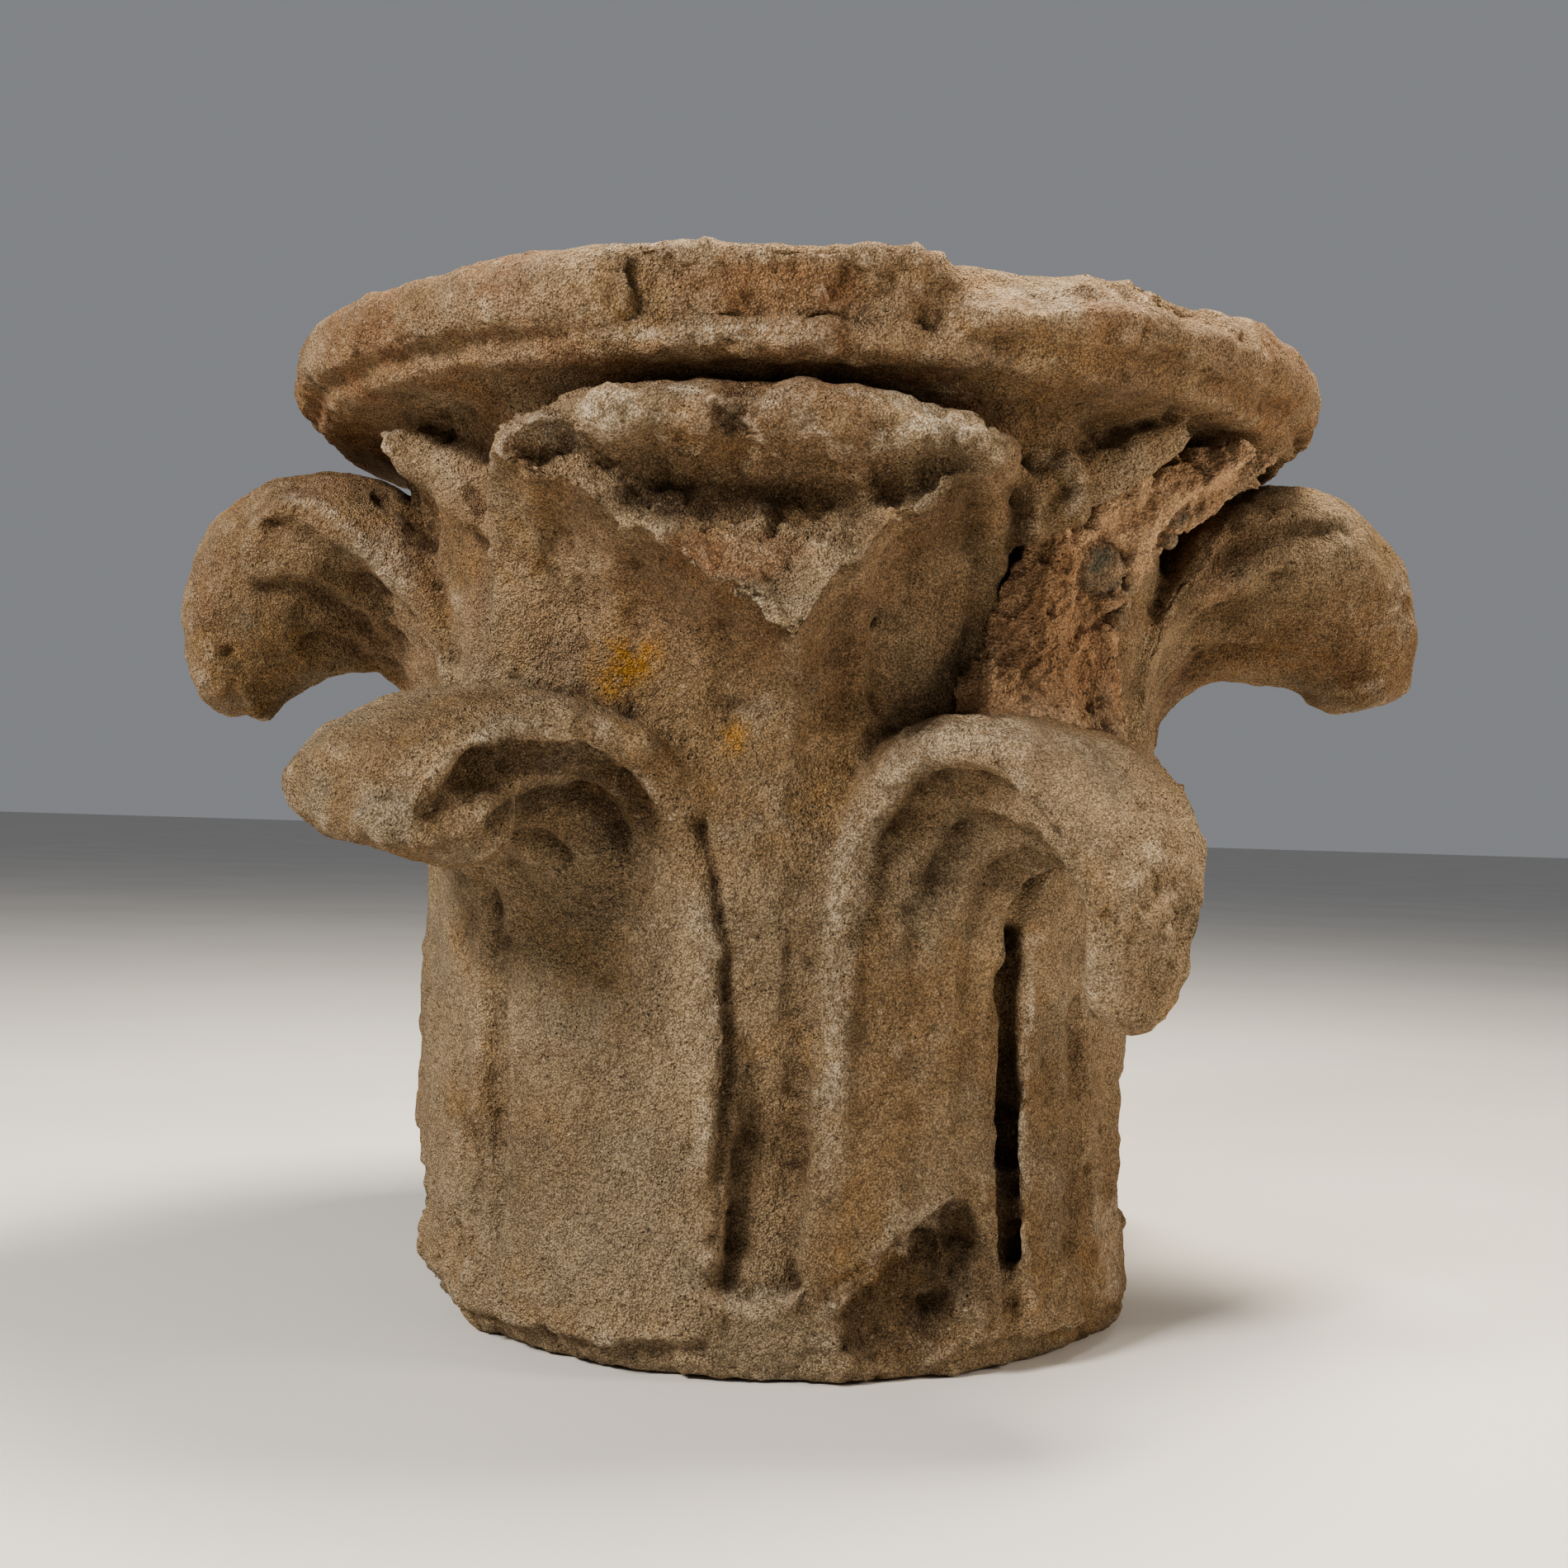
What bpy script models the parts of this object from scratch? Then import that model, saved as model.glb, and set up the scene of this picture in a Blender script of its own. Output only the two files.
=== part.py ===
"""A limestone column capital carved from one block: a round abacus on a bell with two tiers of leaves.

The stone stands on its lower bed at height zero, its axis upright. The front faces -Y.
Bearings round the axis are in degrees from the front, positive towards +X. All sizes are in metres.
"""

import math
from dataclasses import dataclass, replace

import bmesh
import bpy
import numpy as np

# Turned core
CAPITAL_HEIGHT = 0.392
BASE_RADIUS = 0.1500
BASE_EDGE_WEAR = 0.006
BASE_BAND_HEIGHT = 0.032
BELL_RADIUS = 0.139
BELL_RECESS_RISE = 0.010
BELL_FLARE_HEIGHT = 0.1347
ABACUS_HEIGHT = 0.0363
ABACUS_FOOT = CAPITAL_HEIGHT - ABACUS_HEIGHT
TORUS_OUTER_RADIUS = 0.2162
TORUS_MINOR_RADIUS = 0.0171
GROOVE_INSET = 0.0142
GROOVE_RISE = 0.0095
ROLL_INSET = 0.0102
ROLL_MINOR_RADIUS = 0.0052
ROLL_EDGE_INSET = 0.0253
BELL_TOP_INSET = 0.0342
TOP_BED_INSET = 0.0442
CORE_SIDES = 50

# Leaves
RISE_SHARE = 0.36
ROOT_FLUTE_SHARE = 0.16
FLUTE_EDGES = (0.16, 0.43, 0.71)
FLUTE_LAP = 0.05
PLAIN_FLUTE_EDGES = (0.22, 0.60)

# Breaks in the abacus, as bearings of their ends
FRONT_BREAK = (-17.0, 14.0)
FRONT_BREAK_DEPTH = 0.0050
FRONT_BREAK_LEAN = -18.0
RIGHT_BREAK = (13.0, 44.0)
RIGHT_BREAK_DEPTH = 0.0100
RIGHT_BREAK_END_DEPTH = 0.0045
RIGHT_BREAK_LEAN = 50.0

# Hollows broken into the foot: bearing, reach from the foot's edge, height, half sizes and variation of each
CHIPS = (
    (14.0, 0.022, 0.028, (0.036, 0.034, 0.031), 0.6),
    (22.0, 0.026, 0.020, (0.024, 0.036, 0.024), 1.9),
    (-82.0, 0.02, 0.040, (0.070, 0.033, 0.036), 2.1),
    (-70.0, 0.022, 0.004, (0.075, 0.036, 0.022), 0.4),
    (84.0, 0.022, 0.010, (0.075, 0.034, 0.032), 3.3),
)

STONE_COLOUR = (0.42, 0.34, 0.24, 1.0)
STONE_ROUGHNESS = 0.92


@dataclass(frozen=True)
class Line:
    """A line in a leaf's upright plane: a rise beside the bell, then an arc that carries it outward and over.

    The root and the centre of the arc are placed by their reach from the bell's wall and their height.
    """

    root_reach: float
    root_height: float
    centre_reach: float
    centre_height: float
    start_size: float
    end_size: float
    end_angle: float

    def at(self, share):
        """Radius and height at shares of the line's length, as an array of pairs."""
        rise = np.clip(share / RISE_SHARE, 0.0, 1.0)
        eased = rise * rise * (3.0 - 2.0 * rise)
        turn = np.clip((share - RISE_SHARE) / (1.0 - RISE_SHARE), 0.0, 1.0)
        angle = np.radians(180.0 + (self.end_angle - 180.0) * turn)
        size = self.start_size + (self.end_size - self.start_size) * turn**2
        start = self.centre_reach - self.start_size
        reach = np.where(
            share < RISE_SHARE,
            self.root_reach + (start - self.root_reach) * eased,
            self.centre_reach + size * np.cos(angle),
        )
        height = np.where(
            share < RISE_SHARE,
            self.root_height + (self.centre_height - self.root_height) * rise,
            self.centre_height + size * np.sin(angle),
        )
        return np.stack([BELL_RADIUS + reach, height], axis=-1)


@dataclass(frozen=True)
class Leaf:
    """One leaf: its bearing, the lines of its back, borders and midrib, its half widths and its fluting."""

    bearing: float
    back: Line
    border: Line
    midrib: Line
    left_widths: tuple
    right_widths: tuple
    left_hollow: float = 0.0
    right_hollow: float = 0.0
    flute_depth: float = 0.006
    flute_fade: float = 0.85
    midrib_gap: float = 0.003
    midrib_depth: float = 0.008
    root_roundness: float = 1.0
    curl_roundness: float = 0.12
    tip_round: float = 0.012
    broken: bool = False
    break_depth: float = 0.016
    edges: tuple = FLUTE_EDGES
    stations: int = 17


UPPER_SIDE = Leaf(
    bearing=-90.0,
    back=Line(-0.027, 0.06, 0.061, ABACUS_FOOT - 0.0697, 0.057, 0.069, -44.0),
    border=Line(-0.011, 0.06, 0.064, ABACUS_FOOT - 0.1057, 0.064, 0.037, 0.0),
    midrib=Line(0.001, 0.05, 0.059, ABACUS_FOOT - 0.1337, 0.038, 0.038, 18.0),
    left_widths=(0.070, 0.078, 0.068, 0.030),
    right_widths=(0.070, 0.078, 0.068, 0.030),
    flute_depth=0.009,
    flute_fade=0.70,
)
UPPER_FRONT = replace(
    UPPER_SIDE,
    bearing=0.0,
    back=Line(-0.039, 0.05, 0.066, ABACUS_FOOT - 0.0707, 0.085, 0.057, 80.0),
    border=Line(-0.006, 0.03, 0.074, ABACUS_FOOT - 0.0997, 0.092, 0.06, 92.0),
    midrib=Line(-0.005, 0.034, 0.065, ABACUS_FOOT - 0.1347, 0.046, 0.036, 68.0),
    left_widths=(0.045, 0.117, 0.112, 0.099),
    right_widths=(0.045, 0.078, 0.078, 0.066),
    left_hollow=0.25,
    right_hollow=0.75,
    flute_depth=0.0045,
    flute_fade=0.85,
    stations=13,
    midrib_gap=0.0,
    midrib_depth=0.0,
    broken=True,
)
UPPER_RIGHT = replace(
    UPPER_SIDE,
    bearing=90.0,
    back=Line(-0.027, 0.06, 0.063, ABACUS_FOOT - 0.0667, 0.059, 0.067, -30.0),
    midrib=Line(0.001, 0.05, 0.056, ABACUS_FOOT - 0.1297, 0.038, 0.046, 36.0),
)
UPPER_BACK = replace(UPPER_SIDE, bearing=180.0, edges=PLAIN_FLUTE_EDGES, stations=11)
LOWER_LEFT = Leaf(
    bearing=-44.0,
    back=Line(-0.034, 0.02, 0.029, 0.142, 0.098, 0.103, 50.0),
    border=Line(-0.013, 0.016, 0.045, 0.174, 0.06, 0.056, 36.0),
    midrib=Line(0.017, 0.012, 0.051, 0.148, 0.034, 0.05, 54.0),
    left_widths=(0.099, 0.092, 0.060, 0.034),
    right_widths=(0.090, 0.090, 0.074, 0.050),
    flute_depth=0.008,
    curl_roundness=0.85,
    tip_round=0.010,
    midrib_gap=0.004,
    midrib_depth=0.008,
)
LOWER_RIGHT = Leaf(
    bearing=35.0,
    back=Line(-0.034, 0.02, 0.011, 0.162, 0.069, 0.081, -18.0),
    border=Line(-0.009, 0.016, 0.047, 0.168, 0.056, 0.048, -20.0),
    midrib=Line(0.014, 0.012, 0.033, 0.15, 0.025, 0.027, -34.0),
    left_widths=(0.080, 0.076, 0.062, 0.034),
    right_widths=(0.080, 0.068, 0.026, 0.008),
    curl_roundness=0.35,
    midrib_gap=0.006,
    midrib_depth=0.022,
)
LOWER_BACK_LEFT = replace(LOWER_LEFT, bearing=-135.0, edges=PLAIN_FLUTE_EDGES, stations=11)
LOWER_BACK_RIGHT = replace(
    LOWER_RIGHT,
    bearing=135.0,
    right_widths=LOWER_RIGHT.left_widths,
    midrib_depth=0.008,
    edges=PLAIN_FLUTE_EDGES,
    stations=11,
)
LEAVES = (
    UPPER_FRONT,
    UPPER_SIDE,
    UPPER_RIGHT,
    UPPER_BACK,
    LOWER_LEFT,
    LOWER_RIGHT,
    LOWER_BACK_LEFT,
    LOWER_BACK_RIGHT,
)


@dataclass(frozen=True)
class Stalk:
    """A leaf stalk under the abacus.

    Its foot and head are given by bearing, reach from the bell's wall and drop from the abacus's underside.
    """

    foot: tuple
    head: tuple
    foot_half: float
    head_half: float
    thickness: float


STALKS = (
    Stalk((-34.0, 0.021, 0.0537), (-57.0, 0.043, 0.0167), 0.02, 0.009, 0.008),
    Stalk((28.0, 0.027, 0.0407), (47.0, 0.047, 0.0107), 0.011, 0.009, 0.011),
    Stalk((31.0, 0.027, 0.0427), (21.0, 0.037, 0.0227), 0.009, 0.007, 0.009),
    Stalk((130.0, 0.021, 0.0517), (146.0, 0.043, 0.0167), 0.018, 0.009, 0.008),
    Stalk((-130.0, 0.021, 0.0517), (-146.0, 0.043, 0.0167), 0.018, 0.009, 0.008),
)
STALK_ROOT_DEPTH = 0.035

# Old fill between the front leaf and the right one
FILL_FOOT_HEIGHT = 0.216
FILL_HEAD_DROP = 0.0097
FILL_FOOT_BEARINGS = (18.0, 45.0)
FILL_HEAD_BEARINGS = (43.0, 62.0)
FILL_FOOT_REACH = 0.049
FILL_HEAD_REACH = 0.053
FILL_HOLLOW = 0.026
FILL_HEAD_BULGE = 0.018


def place(bearing, radius, height, offset):
    """Points from a leaf's plane: radius and height in the plane, offset square to it."""
    angle = math.radians(bearing)
    x = radius * math.sin(angle) + offset * math.cos(angle)
    y = -radius * math.cos(angle) + offset * math.sin(angle)
    return np.stack([x, y, height], axis=-1)


def ripple(points, size, strength, phase=0.0):
    """A smooth uneven shift of points, made of three crossed waves, for broken faces."""
    waves = np.array([[1.0, 0.6, 0.3], [-0.5, 1.1, 0.7], [0.4, -0.8, 1.3]])
    angle = points @ waves.T * (2.0 * math.pi / size)
    shift = np.sin(angle + phase) + 0.5 * np.sin(2.3 * angle + 1.7 + phase)
    return shift * strength / 1.5


def mesh_object(name, vertices, faces):
    """A new object from points and faces, its faces turned outward."""
    mesh = bpy.data.meshes.new(name)
    mesh.from_pydata([tuple(v) for v in vertices], [], faces)
    work = bmesh.new()
    work.from_mesh(mesh)
    bmesh.ops.recalc_face_normals(work, faces=work.faces)
    work.to_mesh(mesh)
    work.free()
    made = bpy.data.objects.new(name, mesh)
    bpy.context.scene.collection.objects.link(made)
    return made


def loft(name, rings, last_fan=True, more_vertices=(), more_faces=()):
    """A closed skin through rings of equal count, with a fan of triangles on each end or more faces given."""
    count = len(rings[0])
    vertices = [v for ring in rings for v in ring]
    vertices += list(more_vertices)
    faces = list(more_faces)
    vertices += [np.mean(rings[0], axis=0)] + [np.mean(rings[-1], axis=0)] * last_fan
    for i in range(len(rings) - 1):
        for k in range(count):
            j = (k + 1) % count
            low = i * count
            high = low + count
            faces.append((low + k, low + j, high + j, high + k))
    last = (len(rings) - 1) * count
    first_centre = len(vertices) - 1 - last_fan
    for k in range(count):
        j = (k + 1) % count
        faces.append((first_centre, j, k))
        if last_fan:
            faces.append((len(vertices) - 1, last + k, last + j))
    return mesh_object(name, vertices, faces)


def broken_end(leaf, rings):
    """Points and faces of a rough broken face that closes the last ring, hollow in its middle."""
    ring = rings[-1]
    count = len(ring)
    start = (len(rings) - 1) * count
    columns = count // 2 + 1
    rows = 6
    outward = place(leaf.bearing, 1.0, np.array(0.0), 0.0)
    index = [[start + i for i in range(columns)]]
    points = []
    for row in range(1, rows):
        share = row / rows
        line = [start]
        for i in range(1, columns - 1):
            front = ring[i]
            back = ring[count - i]
            point = front + (back - front) * share
            arch = math.sin(math.pi * share) * math.sin(math.pi * i / (columns - 1)) ** 0.5
            ledge = 0.5 + 0.5 * math.cos(2.0 * math.pi * (share - 0.78) / 0.9)
            sunk = leaf.break_depth * arch * (0.45 + 0.75 * (1.0 - ledge))
            uneven = float(ripple(point[None, :], 0.09, 0.30 * leaf.break_depth)[0, 0]) * arch
            points.append(point - outward * (sunk + uneven))
            line.append(len(rings) * count + len(points) - 1)
        line.append(start + columns - 1)
        index.append(line)
    index.append([start] + [start + count - i for i in range(1, columns - 1)] + [start + columns - 1])
    faces = []
    for low, high in zip(index[:-1], index[1:]):
        for i in range(columns - 1):
            corners = (low[i], low[i + 1], high[i + 1], high[i])
            faces.append(tuple(dict.fromkeys(corners)))
    return points, faces


def fluted_positions(edges):
    """Positions across half a leaf from border to midrib, with the share of the flute's depth at each."""
    positions = [(0.0, 0.0)]
    for edge in edges:
        positions += [(edge, 0.0), (edge + FLUTE_LAP, 1.0)]
    return positions + [(1.0, 0.15)]


def leaf_ring(leaf, share):
    """One section of a leaf: from the left border over the face to the right one, and over the crown."""
    share = np.array(share)
    back = leaf.back.at(share)
    border = leaf.border.at(share)
    midrib = leaf.midrib.at(share)
    knots = (0.0, RISE_SHARE, 0.70, 1.0)
    depth_line = midrib - border
    depth = float(np.hypot(*depth_line))
    way = depth_line / depth
    curl = np.clip((share - 0.2) / 0.35, 0.0, 1.0)
    roundness = leaf.root_roundness + (leaf.curl_roundness - leaf.root_roundness) * curl
    fade = np.clip((1.0 - share) / (1.0 - leaf.flute_fade), 0.0, 1.0)
    root = np.clip(share / 0.12, 0.0, 1.0)
    flute = leaf.flute_depth * (ROOT_FLUTE_SHARE + (1.0 - ROOT_FLUTE_SHARE) * curl) * root
    flute = flute if leaf.broken else flute * fade
    halves = []
    sides = ((-1.0, leaf.left_widths, leaf.left_hollow), (1.0, leaf.right_widths, leaf.right_hollow))
    for side, widths, hollow in sides:
        width = float(np.interp(share, knots, widths))
        slope = math.hypot(width, depth)
        carved = flute * min(1.0, width / 0.035)
        bow = roundness - hollow * curl
        half = []
        for place_share, sunk in fluted_positions(leaf.edges):
            lift = place_share + bow * place_share * (1.0 - place_share)
            across = width + (leaf.midrib_gap - width) * place_share
            across -= carved * sunk * depth / slope
            down = depth * lift - carved * sunk * width / slope
            half.append((side * max(across, leaf.midrib_gap * 0.5), border + way * down))
        halves.append(half)
    left, right = halves
    ring = left[:]
    if leaf.midrib_gap > 0.0:
        gap_depth = leaf.midrib_depth * float(root) * float(np.clip(fade, 0.3, 1.0))
        gap_depth = min(gap_depth, depth * 0.6)
        floor = border + way * (depth - gap_depth)
        ring.append((-leaf.midrib_gap * 0.35, floor))
        ring.append((leaf.midrib_gap * 0.35, floor))
        ring += right[::-1]
    else:
        ring[-1] = (0.0, midrib)
        ring += right[-2::-1]
    left_width = float(np.interp(share, knots, leaf.left_widths))
    right_width = float(np.interp(share, knots, leaf.right_widths))
    middle = (right_width - left_width) / 2.0
    reach = (right_width + left_width) / 2.0
    if leaf.broken:
        turns = [math.acos(np.clip((offset - middle) / reach, -1.0, 1.0)) for offset, _ in ring[-2:0:-1]]
    else:
        turns = [math.radians(angle) for angle in (30.0, 60.0, 90.0, 120.0, 150.0)]
    for turn in turns:
        offset = middle + reach * math.cos(turn)
        ring.append((offset, border + (back - border) * math.sin(turn) ** 0.8))
    offsets = np.array([offset for offset, _ in ring])
    points = np.array([point for _, point in ring])
    return place(leaf.bearing, points[:, 0], points[:, 1], offsets)


def build_leaf(name, leaf):
    """A leaf as a closed solid, with a rounded tip or a rough broken end."""
    rise = np.linspace(0.0, RISE_SHARE, 4)[:-1]
    curl = np.linspace(RISE_SHARE, 1.0, leaf.stations - 3)
    rings = [leaf_ring(leaf, share) for share in np.concatenate([rise, curl])]
    end = rings[-1]
    centre = end.mean(axis=0)
    step = centre - rings[-2].mean(axis=0)
    step = step / np.linalg.norm(step)
    if leaf.broken:
        points, faces = broken_end(leaf, rings)
        return loft(name, rings, False, points, faces)
    for angle in (32.0, 58.0, 78.0):
        scale = math.cos(math.radians(angle))
        ahead = leaf.tip_round * math.sin(math.radians(angle))
        rings.append(centre + (end - centre) * scale + step * ahead)
    return loft(name, rings)


def core_profile():
    """Radius and height down the outside of the turned core, from the top bed to the lower bed."""
    torus_centre = TORUS_OUTER_RADIUS - TORUS_MINOR_RADIUS
    torus_height = CAPITAL_HEIGHT - TORUS_MINOR_RADIUS
    points = [(TORUS_OUTER_RADIUS - TOP_BED_INSET, CAPITAL_HEIGHT)]
    for angle in (90.0, 62.0, 36.0, 12.0, -12.0, -34.0):
        turn = math.radians(angle)
        points.append(
            (
                torus_centre + TORUS_MINOR_RADIUS * math.cos(turn),
                torus_height + TORUS_MINOR_RADIUS * math.sin(turn),
            )
        )
    points.append((TORUS_OUTER_RADIUS - GROOVE_INSET, ABACUS_FOOT + GROOVE_RISE))
    roll_centre = TORUS_OUTER_RADIUS - ROLL_INSET - ROLL_MINOR_RADIUS
    roll_height = ABACUS_FOOT + GROOVE_RISE - ROLL_MINOR_RADIUS
    for angle in (25.0, -20.0, -65.0):
        turn = math.radians(angle)
        points.append(
            (
                roll_centre + ROLL_MINOR_RADIUS * math.cos(turn),
                roll_height + ROLL_MINOR_RADIUS * math.sin(turn),
            )
        )
    points.append((TORUS_OUTER_RADIUS - ROLL_EDGE_INSET, ABACUS_FOOT - 0.0006))
    bell_top = ABACUS_FOOT - 0.006
    bell_top_radius = TORUS_OUTER_RADIUS - BELL_TOP_INSET
    for share in (1.0, 0.86, 0.66, 0.4, 0.0):
        radius = BELL_RADIUS + (bell_top_radius - BELL_RADIUS) * share**2.2
        points.append((radius, bell_top - BELL_FLARE_HEIGHT * (1.0 - share)))
    points.append((BELL_RADIUS, BASE_BAND_HEIGHT + BELL_RECESS_RISE))
    points.append((BASE_RADIUS, BASE_BAND_HEIGHT))
    points.append((BASE_RADIUS - BASE_EDGE_WEAR * 0.3, BASE_EDGE_WEAR * 1.6))
    points.append((BASE_RADIUS - BASE_EDGE_WEAR, 0.0))
    return points


def pressed(radius, height, edge_radius, edge_height, lean, amount):
    """Moves a profile point that stands outside a broken plane back onto it, by a share of the way."""
    normal = np.array([math.cos(math.radians(lean)), math.sin(math.radians(lean))])
    outside = (np.array([radius, height]) - np.array([edge_radius, edge_height])) @ normal
    if outside <= 0.0:
        return radius, height
    moved = np.array([radius, height]) - normal * outside * amount
    return float(moved[0]), float(moved[1])


def window(bearing, ends, soft=3.0):
    """One inside a span of bearings, nought outside it, with short slopes."""
    rising = np.clip((bearing - ends[0]) / soft + 0.5, 0.0, 1.0)
    falling = np.clip((ends[1] - bearing) / soft + 0.5, 0.0, 1.0)
    return float(min(rising, falling))


def build_core():
    """The bell with its abacus and base band, turned round the axis, with the abacus's breaks pressed in."""
    profile = core_profile()
    abacus_points = 8
    rings = []
    for index, (radius, height) in enumerate(profile):
        ring = []
        for k in range(CORE_SIDES):
            bearing = 360.0 * k / CORE_SIDES
            bearing = bearing - 360.0 if bearing > 180.0 else bearing
            r, z = radius, height
            if 0 < index < abacus_points:
                wave = 0.0016 * math.sin(bearing * 0.9) + 0.0011 * math.sin(bearing * 2.1 + index)
                front = window(bearing, FRONT_BREAK)
                wall = TORUS_OUTER_RADIUS - FRONT_BREAK_DEPTH + wave
                r, z = pressed(r, z, wall, CAPITAL_HEIGHT, FRONT_BREAK_LEAN, front)
                right = window(bearing, RIGHT_BREAK, 4.0)
                depth = np.interp(bearing, (22.0, 31.0), (RIGHT_BREAK_DEPTH, RIGHT_BREAK_END_DEPTH))
                lean = math.radians(RIGHT_BREAK_LEAN)
                plane = TORUS_MINOR_RADIUS - float(depth) + wave * 0.6
                edge_r = TORUS_OUTER_RADIUS - TORUS_MINOR_RADIUS + plane * math.cos(lean)
                edge_z = CAPITAL_HEIGHT - TORUS_MINOR_RADIUS + plane * math.sin(lean)
                r, z = pressed(r, z, edge_r, edge_z, RIGHT_BREAK_LEAN, right)
            angle = math.radians(bearing)
            ring.append(np.array([r * math.sin(angle), -r * math.cos(angle), z]))
        rings.append(np.array(ring))
    return loft("core", rings)


def boulder(name, centre, sizes, turn, phase):
    """A rough lump, for the hollows where stone has broken away."""
    rings = []
    rows, sides = 7, 12
    angle = math.radians(turn)
    for i in range(rows):
        polar = math.pi * (i + 0.5) / rows
        ring = []
        for k in range(sides):
            round_way = 2.0 * math.pi * k / sides
            x = math.sin(polar) * math.cos(round_way) * sizes[0]
            y = math.sin(polar) * math.sin(round_way) * sizes[1]
            z = math.cos(polar) * sizes[2]
            ring.append(
                (
                    x * math.cos(angle) - y * math.sin(angle),
                    x * math.sin(angle) + y * math.cos(angle),
                    z,
                )
            )
        ring = np.array(ring)
        rings.append(centre + ring + ripple(ring, 0.07, 0.10 * min(sizes), phase))
    return loft(name, rings)


def on_stone(bearing, radius, height):
    """A point at a bearing, a radius and a height."""
    angle = math.radians(bearing)
    return np.array([radius * math.sin(angle), -radius * math.cos(angle), height])


def build_stalk(name, stalk):
    """A short leaf stalk that leans on the bell between two leaves, its head under the abacus."""
    rings = []
    for share in np.linspace(0.0, 1.0, 6):
        bearing = stalk.foot[0] + (stalk.head[0] - stalk.foot[0]) * share**0.8
        radius = BELL_RADIUS + stalk.foot[1] + (stalk.head[1] - stalk.foot[1]) * share**1.4
        height = ABACUS_FOOT - stalk.foot[2] - (stalk.head[2] - stalk.foot[2]) * share
        half = stalk.foot_half + (stalk.head_half - stalk.foot_half) * share
        thick = stalk.thickness * (0.6 + 0.4 * share)
        ring = [
            on_stone(bearing, radius - STALK_ROOT_DEPTH, height - half),
            on_stone(bearing, radius + thick * 0.2, height - half),
            on_stone(bearing + 1.0, radius + thick, height - half * 0.1),
            on_stone(bearing, radius + thick * 0.8, height + half),
            on_stone(bearing, radius - STALK_ROOT_DEPTH, height + half),
        ]
        rings.append(np.array(ring))
    return loft(name, rings)


def build_fill(name):
    """Old fill between the front leaf and the right one: an uneven hollow mass on the leaf below."""
    rise_height = ABACUS_FOOT - FILL_HEAD_DROP - FILL_FOOT_HEIGHT
    rings = []
    for across in np.linspace(0.0, 1.0, 8):
        line = []
        for rise in np.linspace(0.0, 1.0, 7):
            left = np.interp(rise**2.2, (0.0, 1.0), (FILL_FOOT_BEARINGS[0], FILL_HEAD_BEARINGS[0]))
            right = np.interp(rise**1.5, (0.0, 1.0), (FILL_FOOT_BEARINGS[1], FILL_HEAD_BEARINGS[1]))
            bearing = left + (right - left) * across
            radius = BELL_RADIUS + FILL_FOOT_REACH + (FILL_HEAD_REACH - FILL_FOOT_REACH) * rise
            radius -= FILL_HOLLOW * math.sin(math.pi * min(1.0, rise * 1.05))
            radius -= 0.5 * FILL_HOLLOW * (2.0 * across - 1.0) ** 4
            radius += FILL_HEAD_BULGE * rise**2 * across
            radius += 0.12 * FILL_HOLLOW * math.sin(9.0 * rise + 14.0 * across)
            line.append(on_stone(float(bearing), radius, FILL_FOOT_HEIGHT + rise_height * rise))
        line = np.array(line)
        rings.append(np.concatenate([line, line[::-1] * np.array([0.55, 0.55, 1.0])]))
    return loft(name, rings)


def join(base, other, operation):
    """Joins or cuts the base with another closed solid and removes that one."""
    modifier = base.modifiers.new("Solid", "BOOLEAN")
    modifier.operation = operation
    modifier.solver = "EXACT"
    modifier.object = other
    bpy.context.view_layer.update()
    graph = bpy.context.evaluated_depsgraph_get()
    mesh = bpy.data.meshes.new_from_object(base.evaluated_get(graph))
    base.modifiers.clear()
    base.data = mesh
    bpy.data.objects.remove(other, do_unlink=True)


def stone_material():
    """Warm grey limestone."""
    material = bpy.data.materials.new("Limestone")
    material.use_nodes = True
    shader = material.node_tree.nodes["Principled BSDF"]
    shader.inputs["Base Color"].default_value = STONE_COLOUR
    shader.inputs["Roughness"].default_value = STONE_ROUGHNESS
    shader.inputs["Metallic"].default_value = 0.0
    return material


def clean(stone):
    """Keeps the outer skin, so that the stone is solid, merges coinciding points and triangulates."""
    work = bmesh.new()
    work.from_mesh(stone.data)
    skins = []
    left = set(work.faces)
    while left:
        skin = [left.pop()]
        for face in skin:
            for edge in face.edges:
                for other in edge.link_faces:
                    if other in left:
                        left.remove(other)
                        skin.append(other)
        skins.append(skin)
    skins.sort(key=len)
    inner = [face for skin in skins[:-1] for face in skin]
    bmesh.ops.delete(work, geom=inner, context="FACES")
    bmesh.ops.remove_doubles(work, verts=work.verts, dist=0.0001)
    bmesh.ops.dissolve_degenerate(work, edges=work.edges, dist=0.00005)
    bmesh.ops.triangulate(work, faces=work.faces)
    work.to_mesh(stone.data)
    work.free()


def main():
    """Builds the stone."""
    for old in list(bpy.data.objects):
        bpy.data.objects.remove(old, do_unlink=True)
    stone = build_core()
    carving = [build_leaf(f"leaf_{number}", leaf) for number, leaf in enumerate(LEAVES)]
    carving += [build_stalk(f"stalk_{number}", stalk) for number, stalk in enumerate(STALKS)]
    carving.append(build_fill("fill"))
    for piece in carving:
        join(stone, piece, "UNION")
    for number, (bearing, reach, height, sizes, phase) in enumerate(CHIPS):
        centre = on_stone(bearing, BASE_RADIUS + reach, height)
        join(stone, boulder(f"lump_{number}", centre, sizes, bearing, phase), "DIFFERENCE")
    clean(stone)
    stone.name = "capital"
    stone.data.name = "capital"
    stone.data.materials.clear()
    stone.data.materials.append(stone_material())


main()
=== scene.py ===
"""A weathered limestone column capital with old mortar left beside one of its leaves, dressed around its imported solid.

Heights are from the lower bed and bearings from the front (-Y), in degrees towards +X. All lengths are in metres.
"""

from __future__ import annotations

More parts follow.
